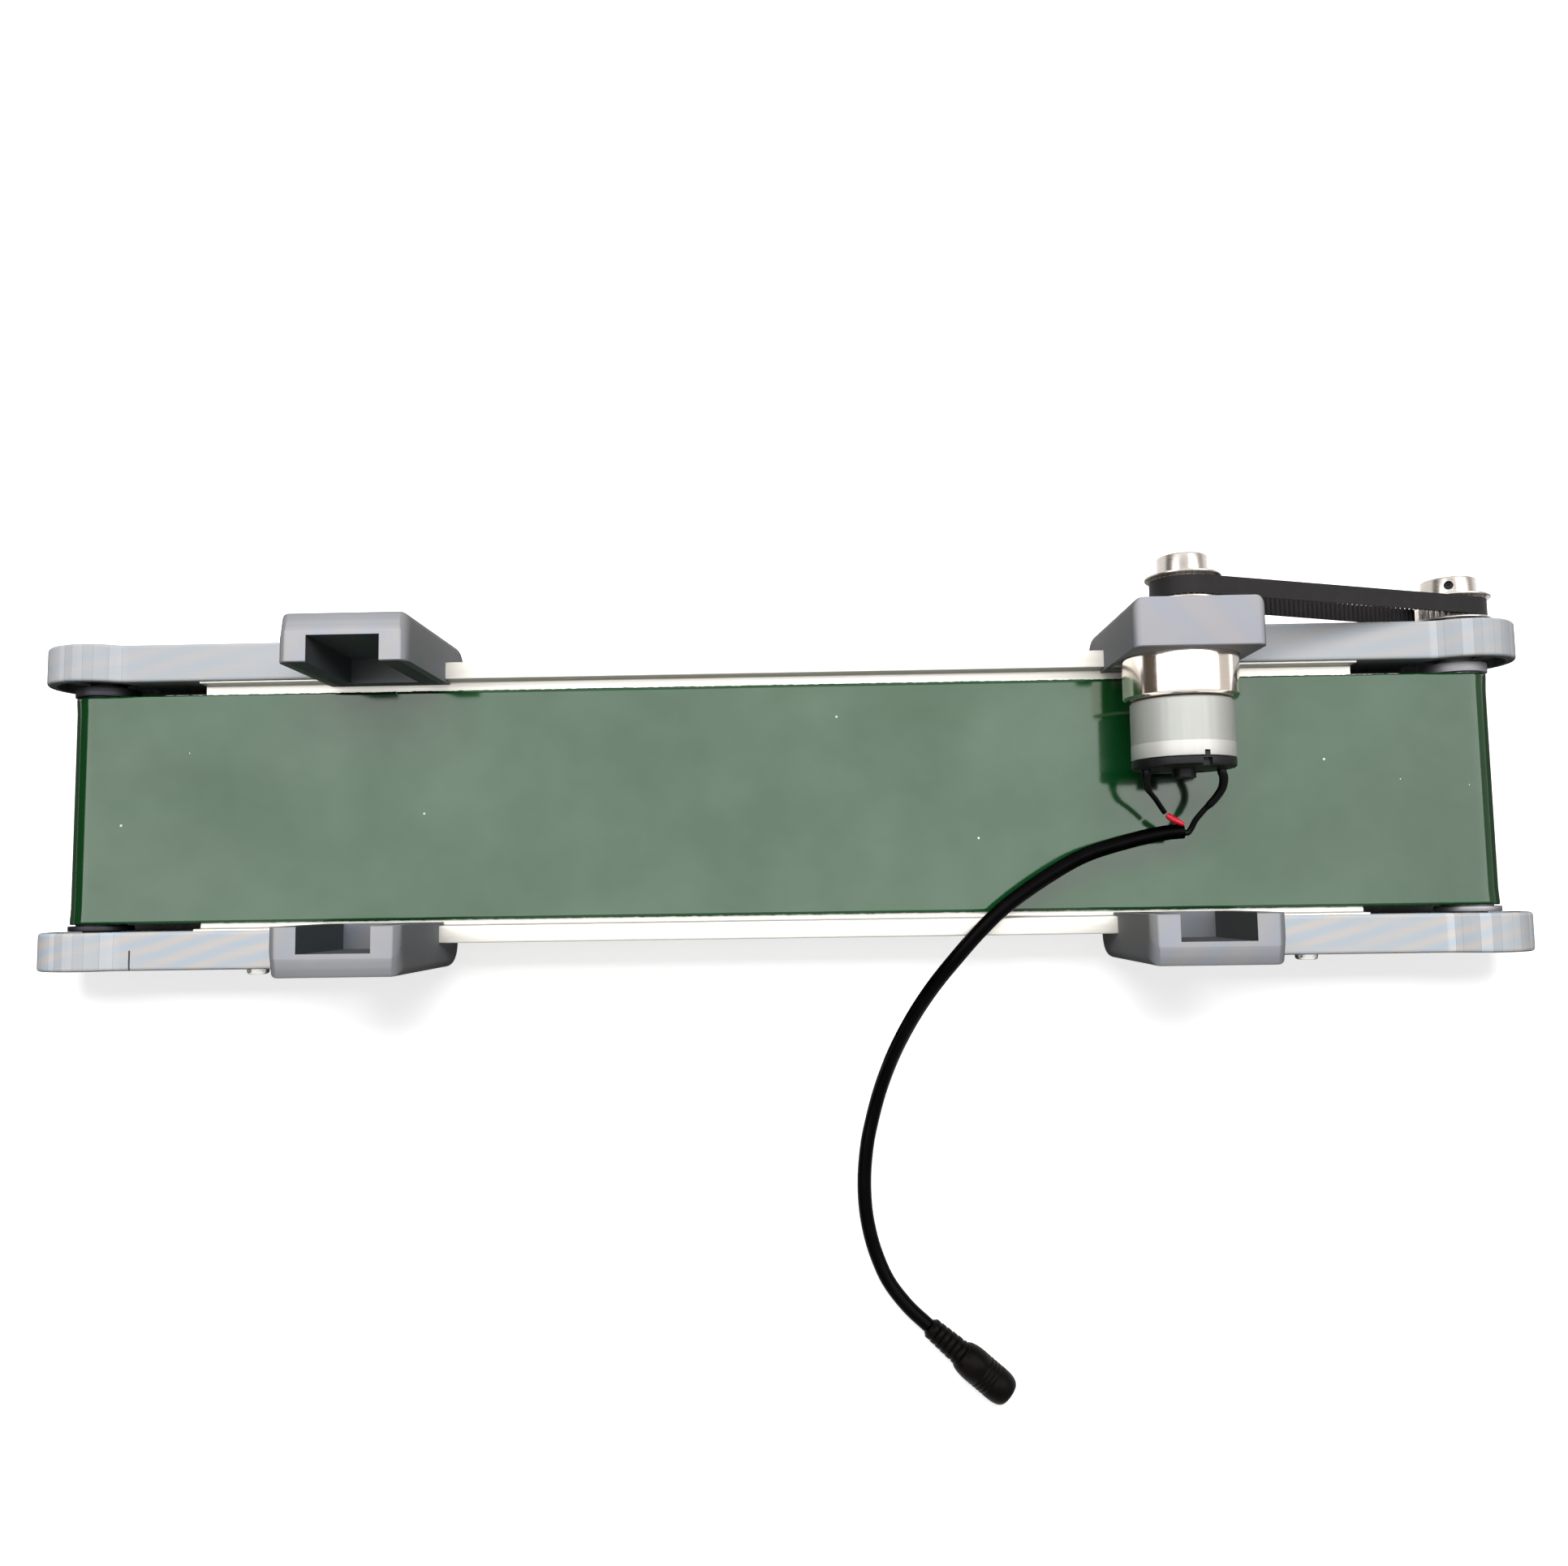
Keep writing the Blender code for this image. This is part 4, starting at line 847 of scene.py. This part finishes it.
def footSection(x, inset, side, bevel, node):
    # Cross-section across the conveyor, drawn in by inset on its outer and top faces. bevel
    # gives the width and depth of the slope along the outer top edge.
    low, high = cadSpan(node)
    inner, outer = wallsOf(node)
    outer, top = outer - inset, high.z - inset
    slopeWide, slopeDeep = (size + inset * 0.4 for size in bevel)
    step = bed["bedHalf"] + plates["slotGap"]
    soft, bend = feet["soft"], feet["bottomRound"]
    points = [(inner, top - soft), (inner, step), (inner + feet["lip"], step),
              (inner + feet["lip"], slotHalf), (slotWall, slotHalf), (slotWall, low.z)]
    points += arc((outer - bend, low.z + bend), bend, -90, 0, 9)
    points += [(outer, top - slopeDeep - soft), (outer - soft * 0.3, top - slopeDeep),
               (outer - soft, top - slopeDeep + soft * 0.3),
               (outer - slopeWide + 0.15, top - 0.04), (outer - slopeWide - 0.1, top),
               (inner + soft, top)]
    return [(x, side * y, z) for y, z in points]


def footBody(node, side, roundness, bevel):
    span = about(middleOf(node).x, radiusOf(node))
    shape = bmesh.new()
    rows = [[shape.verts.new(point) for point in footSection(x, inset, side, bevel, node)]
            for x, inset in roundedEnds(*span, roundness, feet["roundSteps"])]
    skin(shape, rows)
    fillFlat(shape, rows[:1])
    fillFlat(shape, rows[-1:])
    return shape


def sunkHole(x, side, outer):
    floor = outer - feet["counterbore"]
    return bore(side, x, 0, [(feet["hole"], flangeOuter, floor),
                             (feet["boreRadius"], floor, outer + overrun)])


def makeFoot(endName, sideName):
    node = f"{endName}_foot_{sideName}"
    side, centre = sides[sideName], middleOf(node).x
    inner, outer = wallsOf(node)
    half, back, top = feet["pocketWide"] / 2, outer - feet["pocketBack"], cadSpan(node)[1].z
    pocket = block(about(centre, half), across(side, inner - overrun, back),
                   (slotHalf + feet["pocketFloor"], top + overrun))
    shape = combine(footBody(node, side, feet["round"], feet["bevel"]),
                    cuts=[pocket, sunkHole(centre, side, outer)])
    # Faces inside the pocket get its painted-shade print, and those facing up the floor's.
    for face in shape.faces:
        x, y, z = face.calc_center_median()
        sunk = (abs(x - centre) < half + 0.05 and inner - 1 < side * y < back + 0.05
                and flangeHalf + feet["pocketFloor"] - 0.01 < z < top - 0.01)
        face.material_index = int(sunk) + int(sunk and face.normal.z > 0.9)
    piece(f"{node}_print", shape, [footPrint, pocketShadePrint, pocketFloor], [node],
          "printed_grey", smooth=34)
    makeScrew(f"{node}_screw", blackOxide)


def makeBracket():
    inner, outer = wallsOf("motor_bracket")
    back, floor = outer - bracket["wall"], outer - feet["counterbore"]
    axis, shaft = middleOf("motor_can"), middleOf("output_shaft")
    radius = radiusOf("gearbox_housing") + bracket["gap"]
    hollow = arc((axis.x, axis.z), radius, 0, 180, 48)
    hollow += [(axis.x - radius, flangeHalf - 2), (axis.x + radius, flangeHalf - 2)]
    cuts = [slab(hollow, inner - overrun, back),
            bore(1, shaft.x, shaft.z,
                 [(bracket["noseHole"], back - overrun, outer + overrun)]),
            sunkHole(middleOf("motor_bracket").x, 1, outer)]
    for count in (1, 2, 3):
        spot = middleOf(f"motor_screw_{count}")
        cuts.append(bore(1, spot.x, spot.z,
                         [(bracket["screwHole"], back - overrun, floor),
                          (bracket["screwSink"], floor, outer + overrun)], 32))
        makeScrew(f"motor_screw_{count}", blackOxide)
    shape = combine(footBody("motor_bracket", 1, bracket["round"], bracket["bevel"]), cuts=cuts)
    piece("motor_bracket_print", shape, bracketPrint, ["motor_bracket"], "printed_grey",
          smooth=34)
    makeScrew("motor_bracket_screw", blackOxide)


for endName, sideName in (("tail", "far"), ("tail", "near"), ("drive", "near")):
    makeFoot(endName, sideName)
makeBracket()
print("feet and bracket made")


rollers = {"collarGap": 0.4, "shoulder": 42.9, "hub": 6.0, "clear": 0.3, "chamfer": 0.4,
           "ringWide": 1.7, "soft": 0.3, "sealIn": 0.45}


def makeRollerSet(endName):
    body = f"{endName}_roller_set"
    roller, shaftNode = f"{endName}_roller", f"{endName}_shaft"
    at = (middleOf(roller).x, middleOf(roller).z)
    wide, hub, shaft = radiusOf(roller), cadSpan(roller)[1].y, radiusOf(shaftNode)
    profile = []
    for side, edge in zip((-1, 1), cadSpan("conveyor_belt")):
        face = edge.y + side * rollers["collarGap"]
        half = [(shaft + rollers["clear"], side * hub), (rollers["hub"], side * hub),
                (rollers["hub"], side * rollers["shoulder"]),
                (wide, side * rollers["shoulder"]), (wide, face), (bed["bedHalf"], face)]
        profile += half[::-side]
    piece(f"{endName}_roller_drum", turned(easeProfile(profile), 96, at, True),
          rollerMetal[endName], [roller], "machined_aluminium", body)
    low, high = cadSpan(shaftNode)
    bevels = (rollers["chamfer"],) * 2
    piece(f"{endName}_shaft_bar", turned(bar(0, shaft, low.y, high.y, *bevels), 48, at),
          groundSteel, [shaftNode], "ground_steel", body)
    for sideName in sides:
        inner, outer = (f"{endName}_bearing_{ring}_{sideName}" for ring in ("inner", "outer"))
        low, high = cadSpan(outer)
        rim, race = radiusOf(outer), radiusOf(inner)
        seal, thin, bevels = rollers["sealIn"], rim - rollers["ringWide"], (rollers["soft"],) * 2
        ringShape = turned(bar(thin, rim, low.y, high.y, *bevels), 64, at, True)
        shield = turned(bar(race + 0.15, thin + 0.1, low.y + seal, high.y - seal), 64, at, True)
        for face in shield.faces:
            face.material_index = 1
        piece(f"{endName}_bearing_ring_{sideName}", gather(ringShape, shield),
              [groundSteel, sealRubber], [outer], "ground_steel")
        low, high = cadSpan(inner)
        profile = [(shaft + 0.05, low.y + 0.2), (shaft + 0.25, low.y), (race, low.y),
                   (race, high.y), (shaft + 0.25, high.y), (shaft + 0.05, high.y - 0.2)]
        piece(f"{endName}_bearing_race_{sideName}", turned(profile, 64, at, True), groundSteel,
              [inner], "ground_steel", body)


for endName in ends:
    makeRollerSet(endName)
print("rollers made")


drive = {"pitch": 2.0, "pitchLine": 0.254, "tooth": 0.75, "back": 0.63, "flange": 1.0,
         "flangeEdge": 0.25, "groove": 7.0, "grooveDeep": 0.81, "grubWide": 1.3, "grubTall": 3.0,
         "grubHole": 1.55, "key": 0.75, "backSteps": 260}
pulleys = {"motor_pulley": {"teeth": 32, "hub": 8.0, "shaft": "output_shaft", "away": math.pi,
                            "body": "motor_output", "holeTurn": 180},
           "roller_pulley": {"teeth": 36, "hub": 9.0, "shaft": "drive_shaft", "away": 0.0,
                             "body": "drive_roller_set", "holeTurn": -25}}
for pulley in pulleys.values():
    axis = middleOf(pulley["shaft"])
    pulley["at"] = (axis.x, axis.z)
    pulley["land"] = drive["pitch"] * pulley["teeth"] / (2 * math.pi) - drive["pitchLine"]
motorEnd, rollerEnd = (pulley["at"] for pulley in pulleys.values())
driveLine = math.atan2(rollerEnd[1] - motorEnd[1], rollerEnd[0] - motorEnd[0])


def mirrored(flank):
    # Both flanks of a tooth or a gap, from (distance along, height) pairs of the first.
    return flank + [(-along, height) for along, height in flank[::-1]]


def makePulley(node, pulley):
    at, teeth, hub, land = (pulley[key] for key in ("at", "teeth", "hub", "land"))
    low, high = cadSpan(node)
    rim, root = radiusOf(node), land - drive["grooveDeep"]
    start = driveLine + pulley["away"]
    inside = radiusOf(pulley["shaft"]) + 0.05
    outline = []
    gap = mirrored([(-0.86, land - 0.08), (-0.74, land - 0.3), (-0.52, root + 0.1),
                    (-0.3, root)])
    for tooth in range(teeth):
        for offset, radius in gap:
            turn = start + 2 * math.pi * tooth / teeth + offset / land
            outline.append((at[0] + radius * math.cos(turn), at[1] + radius * math.sin(turn)))
    groove = low.y + drive["flange"]
    far = groove + drive["groove"]
    hubStart = far + drive["flange"]
    bevels, seam = (drive["flangeEdge"],) * 2, 0.15
    flanges = [turned(bar(root - 1, rim, *span, *bevels), 96, at, True)
               for span in ((low.y, groove - seam), (far + seam, hubStart))]
    profile = [(inside, low.y), (hub - 0.6, low.y), (hub - 0.3, low.y + 0.2),
               (hub - 0.3, hubStart - 0.3), (hub, hubStart), (hub, high.y - 0.6),
               (hub - 0.15, high.y - 0.25), (hub - 0.6, high.y), (inside + 0.4, high.y),
               (inside, high.y - 0.4)]
    toHole = (Matrix.Translation((at[0], (hubStart + high.y) / 2, at[1]))
              @ Matrix.Rotation(math.radians(pulley["holeTurn"]), 4, "Y")
              @ Matrix.Rotation(math.radians(90), 4, "X"))
    hole = turned(bar(0, drive["grubHole"], 1.0, hub + 2), 32)
    hole.transform(toHole)
    hubShape = combine(turned(profile, 96, at, True), cuts=[hole])
    piece(f"{node}_turned", gather(slab(outline, groove, far), *flanges, hubShape), pulleyMetal,
          [node], "machined_aluminium", pulley["body"], 28)
    tip, wide, key = inside + 0.2, drive["grubWide"], drive["key"]
    top = tip + drive["grubTall"]
    grub = turned([(0, tip), (wide - 0.4, tip), (wide, tip + 0.4), (wide, top - 0.2),
                   (wide - 0.15, top), (key, top, True), (key, tip + 1.6, True),
                   (0, tip + 1.4)], 36)
    grub.transform(toHole)
    piece(f"{node}_grub", grub, blackOxide, [f"{node}_set_screw"], "screw_steel",
          pulley["body"], 35)


def makeTimingBelt():
    first, second = pulleys.values()
    at, parts = loopTrack(*((*pulley["at"], pulley["land"]) for pulley in (first, second)))
    arcTwo, span, arcOne = parts[:3]
    total = sum(parts)
    centres = []
    for pulley, begin, reach in ((second, 0.0, arcTwo / 2), (first, arcTwo + span, arcOne / 2)):
        step = 2 * math.pi / pulley["teeth"] * pulley["land"]
        most = int(reach / step)
        centres.append([begin + reach + k * step for k in range(-most, most + 1)])
    onTwo, onOne = centres
    centres = onTwo + onOne
    for start, finish in ((onTwo[-1], onOne[0]), (onOne[-1], onTwo[0] + total)):
        count = round((finish - start) / drive["pitch"])
        centres += [start + (finish - start) * k / count for k in range(1, count)]
    centres = sorted(s % total for s in centres)
    tooth = mirrored([(-0.72, 0.0), (-0.62, -0.12), (-0.46, -0.62), (-0.28, -drive["tooth"])])
    inner = [at(s + offset, growth + 0.02) for s in centres for offset, growth in tooth]
    steps = drive["backSteps"]
    outer = [at(total * i / steps, drive["back"]) for i in range(steps)]
    low, high = cadSpan("timing_belt")
    piece("timing_belt_loop", slab(outer, low.y, high.y, holes=[inner]), beltRubber,
          ["timing_belt"], "timing_rubber", smooth=25)
    print(f"timing belt has {len(centres)} teeth")


for node, pulley in pulleys.items():
    makePulley(node, pulley)
makeTimingBelt()


motor = {"shellWall": 1.8, "plate": 2.5, "canWall": 1.3, "capWall": 1.6, "bandLong": 4.6,
         "boss": 3.75, "nose": 6.0, "shaftHole": 3.15, "flatLong": 12.0, "flatDeep": 0.5,
         "notchAt": 2.9, "notchDeep": 4.0, "nubWide": 1.8, "nubLong": 1.6, "slitWide": 2.9,
         "slitDeep": 2.2, "pocketWide": 3.0, "pocketTall": 1.2, "pocketDeep": 3.0,
         "ribAt": 7.4, "ribWide": 1.4, "ribSpan": (6.2, 9.6), "ribDeep": 0.7}


def makeGearbox(at, shaftTo):
    low, high = cadSpan("gearbox_housing")
    shell, thin = radiusOf("gearbox_housing"), 0.12
    wall = shell - motor["shellWall"]
    profile = [(3.4, low.y), (shell - 0.9, low.y), (shell, low.y + 0.9), (shell, high.y - 3.0),
               (shell - thin, high.y - 2.9), (shell - thin, high.y - 2.6), (shell, high.y - 2.5),
               (shell, high.y - 0.2), (shell - 0.2, high.y), (wall, high.y),
               (wall, low.y + 2.5), (3.4, low.y + 2.5)]
    piece("gearbox_shell", turned(easeProfile(profile, 0.12), 128, at, True), nickelPlate,
          ["gearbox_housing"], "nickel_plate")

    low, high = cadSpan("gearbox_front_plate")
    face, nose = low.y + motor["plate"], motor["nose"]
    collar = turned(bar(0, nose, face - 1, high.y, 0.0, 0.5), 64, shaftTo)
    hole = bore(1, *shaftTo, [(motor["shaftHole"], low.y - overrun, high.y + overrun)])
    plate = combine(turned(bar(0, shell, low.y, face, 0.2, 0.3), 128, at), [collar], [hole])
    piece("gearbox_face", plate, nickelPlate, ["gearbox_front_plate"], "nickel_plate")


def makeOutputShaft(x, z):
    low, high = cadSpan("output_shaft")
    radius = radiusOf("output_shaft")
    flat = block(about(x, 4), (high.y - motor["flatLong"], high.y + overrun),
                 (z + radius - motor["flatDeep"], z + 4))
    shape = turned(bar(0, radius, low.y, high.y, 0.0, 0.4), 48, (x, z))
    piece("output_shaft_bar", combine(shape, cuts=[flat]), groundSteel, ["output_shaft"],
          "ground_steel", "motor_output")


def makeMotor(at):
    low, high = cadSpan("motor_can")
    can = radiusOf("motor_can")
    inside, bandEnd = can - motor["canWall"], low.y + motor["bandLong"]
    profile = [(2.0, high.y), (can - 1.3, high.y), (can - 0.5, high.y - 0.25),
               (can - 0.12, high.y - 0.8), (can - 0.06, bandEnd + 0.5),
               (can - 0.06, bandEnd + 0.2), (can, bandEnd), (can, low.y + 0.3),
               (can - 0.1, low.y), (inside, low.y), (inside, high.y - motor["canWall"]),
               (2.0, high.y - motor["canWall"])]
    notchX, notchZ, nub = at[0] + motor["notchAt"], at[1] + can, motor["nubWide"] / 2
    notch = block(about(notchX, nub), (low.y - overrun, low.y + motor["nubLong"]),
                  (notchZ - motor["notchDeep"], notchZ + overrun))
    drawn = combine(turned(profile, 128, at, True), cuts=[notch])
    # The band's faces take the lighter zinc: painted highlight.
    for face in drawn.faces:
        face.material_index = int(face.calc_center_median().y < bandEnd + 0.1)
    piece("motor_can_drawn", drawn, [zincCan, zincBandHighlight], ["motor_can"], "motor_can")

    boss = cadSpan("motor_end_cap")[0].y
    rim, back, well = low.y - 0.3, capBack, can - motor["capWall"]
    wide, inner = motor["boss"], back + motor["capWall"]
    profile = [(1.4, boss + 0.4), (1.6, boss + 0.05), (wide - 0.1, boss), (wide, boss + 0.1),
               (wide, back), (can - 1.2, back), (can - 0.5, back + 0.15), (can - 0.1, back + 0.5),
               (can, back + 1.0), (can, rim - 0.15), (can - 0.15, rim), (well, rim),
               (well, inner), (3.0, inner), (1.4, inner - 0.1)]
    cuts = []
    for way, terminal in ((1, "terminal_right"), (-1, "terminal_left")):
        cuts.append(block(about(middleOf(terminal).x, motor["pocketWide"] / 2),
                          (back - overrun, back + motor["pocketDeep"]),
                          about(at[1], motor["pocketTall"] / 2)))
        # Shallow moulded recesses beside each brush pocket.
        for up in (1, -1):
            cuts.append(block(about(at[0] + way * motor["ribAt"], motor["ribWide"]),
                              (back - overrun, back + motor["ribDeep"]),
                              sorted(at[1] + up * z for z in motor["ribSpan"])))
    cuts.append(block(about(notchX, motor["slitWide"] / 2), (back - overrun, rim - 0.5),
                      (notchZ - motor["slitDeep"], notchZ + overrun)))
    tab = block(about(notchX, nub - 0.05), (rim - 1.0, rim + motor["nubLong"] - 0.1),
                (notchZ - 3.4, notchZ - 0.7))
    piece("motor_cap_moulded", combine(turned(profile, 128, at, True), [tab], cuts), capPlastic,
          ["motor_end_cap"], "black_plastic")


makeGearbox((motorAxis.x, motorAxis.z), motorEnd)
makeMotor((motorAxis.x, motorAxis.z))
makeOutputShaft(*motorEnd)
for name, finish in {"field_magnet": ferrite, "motor_armature": armatureMetal,
                     "lay_gear": cutSteel, "output_gear": cutSteel,
                     "terminal_left": tinnedBrass, "terminal_right": tinnedBrass}.items():
    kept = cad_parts[name]
    for slot in kept.material_slots:
        slot.material = finish
    if not kept.material_slots:
        kept.data.materials.append(finish)
print("motor made")


studio = {"floor": 6.0, "floorDrop": 0.0001, "floorShade": "#f2f2f2", "bounce": "#4a4540",
          "lift": 0.75, "ambient": 0.03, "high": 1.02, "keyAt": (0.0, 0.5),
          "keySize": (0.9, 0.6), "key": 10.6, "skyX": (-1.5, 1.9), "skyY": (-0.12, 0.95),
          "sky": 4.2, "shaded": ((-0.246, 0.246), (-0.0515, 0.0365)),
          "close": ((-0.7, 0.7), (-0.1, 0.05)), "card": ("#c9b090", "#efe9e3"),
          "cardGlow": (0.12, 0.8), "cardHalf": 1.5, "cardFoot": 0.01}


def seesBackground(add):
    # 1 for camera, glossy and transmission rays, 0 for the light that lands on surfaces.
    seen, *others = (add("LightPath", out=f"Is {ray} Ray")
                     for ray in ("Camera", "Glossy", "Transmission"))
    for other in others:
        seen = add("Math", (seen, other), operation="MAXIMUM")
    return seen


def insideBox(add, place, box):
    # 1 on the part of the floor inside the box, given by its two spans.
    inside = []
    for letter, (low, high) in zip("XY", box):
        value = add("SeparateXYZ", (place,), letter)
        for operation, *rest in (("SUBTRACT", (low + high) / 2), ("ABSOLUTE",),
                                 ("LESS_THAN", (high - low) / 2)):
            value = add("Math", (value, *rest), operation=operation)
        inside.append(value)
    return add("Math", inside, operation="MULTIPLY")


def sheet(name, corners, finish):
    mesh = bpy.data.meshes.new(name)
    mesh.from_pydata(corners, [], [(0, 1, 2, 3)])
    mesh.materials.append(finish)
    made = added(name, mesh)
    return made


def makeFloor():
    # Matt paper floor: white to the eye, with the shadow kept, and a muted bounce.
    paper, add, shader, place = newMaterial("matt_paper_floor", studio["floorShade"], 0.9,
                                            Emission_Color="#ffffff")
    # Close to the bed its own shade is what glossy parts reflect, so the paper is muted there.
    shine, close = add("LightPath", out="Is Glossy Ray"), insideBox(add, place, studio["close"])
    muted = add("Math", (shine, close), operation="MULTIPLY")
    seen = add("Math", (seesBackground(add), muted), operation="SUBTRACT")
    # The lift that keeps the paper white stops under the bed.
    shaded = insideBox(add, place, studio["shaded"])
    unshaded = add("Math", (1.0, shaded), operation="SUBTRACT")
    white = add("Math", (unshaded, studio["lift"]), operation="MULTIPLY")
    paint(shader, Base_Color=(seen, studio["bounce"], studio["floorShade"]),
          Emission_Strength=add("Math", (seen, white), operation="MULTIPLY"))
    half = studio["floor"] / 2
    sheet("floor", [(x * half, y * half, -studio["floorDrop"])
                    for x, y in ((-1, -1), (1, -1), (1, 1), (-1, 1))], paper)


def makeLights():
    world = bpy.data.worlds.new("studio")
    world.use_nodes = True
    background = world.node_tree.nodes["Background"]
    background.inputs["Color"].default_value = linear("#ffffff")
    seen = seesBackground(partial(addNode, world.node_tree))
    paint(background, Strength=(seen, 0.0, 1.0, studio["ambient"], 1.0))
    bpy.context.scene.world = world

    # The key light falls on matt surfaces; the long softbox is what glossy ones reflect.
    (left, right), (near, far) = studio["skyX"], studio["skyY"]
    for name, place, size, radiance in (
            ("key", studio["keyAt"], studio["keySize"], studio["key"]),
            ("softbox", ((left + right) / 2, (near + far) / 2), (right - left, far - near),
             studio["sky"])):
        lamp = bpy.data.lights.new(name, "AREA")
        lamp.shape = "RECTANGLE"
        lamp.size, lamp.size_y = size
        lamp.energy = radiance * math.pi * size[0] * size[1]
        light = added(name, lamp)
        light.location = (*place, studio["high"])
        light.visible_camera = False
        light.visible_diffuse, light.visible_glossy = name == "key", name != "key"
    # A card hangs at each end of the softbox, seen only in reflections.
    half, foot, top = studio["cardHalf"], studio["cardFoot"], studio["high"]
    for x, shade, glow in zip(studio["skyX"], studio["card"], studio["cardGlow"]):
        dim, *_ = newMaterial("studio_card", "#000000", 1.0, Emission_Color=shade,
                              Emission_Strength=glow)
        card = sheet("card", [(x, -half, foot), (x, half, foot), (x, half, top), (x, -half, top)],
                     dim)
        card.visible_camera = card.visible_diffuse = card.visible_shadow = False


makeFloor()
makeLights()
print("studio ready")
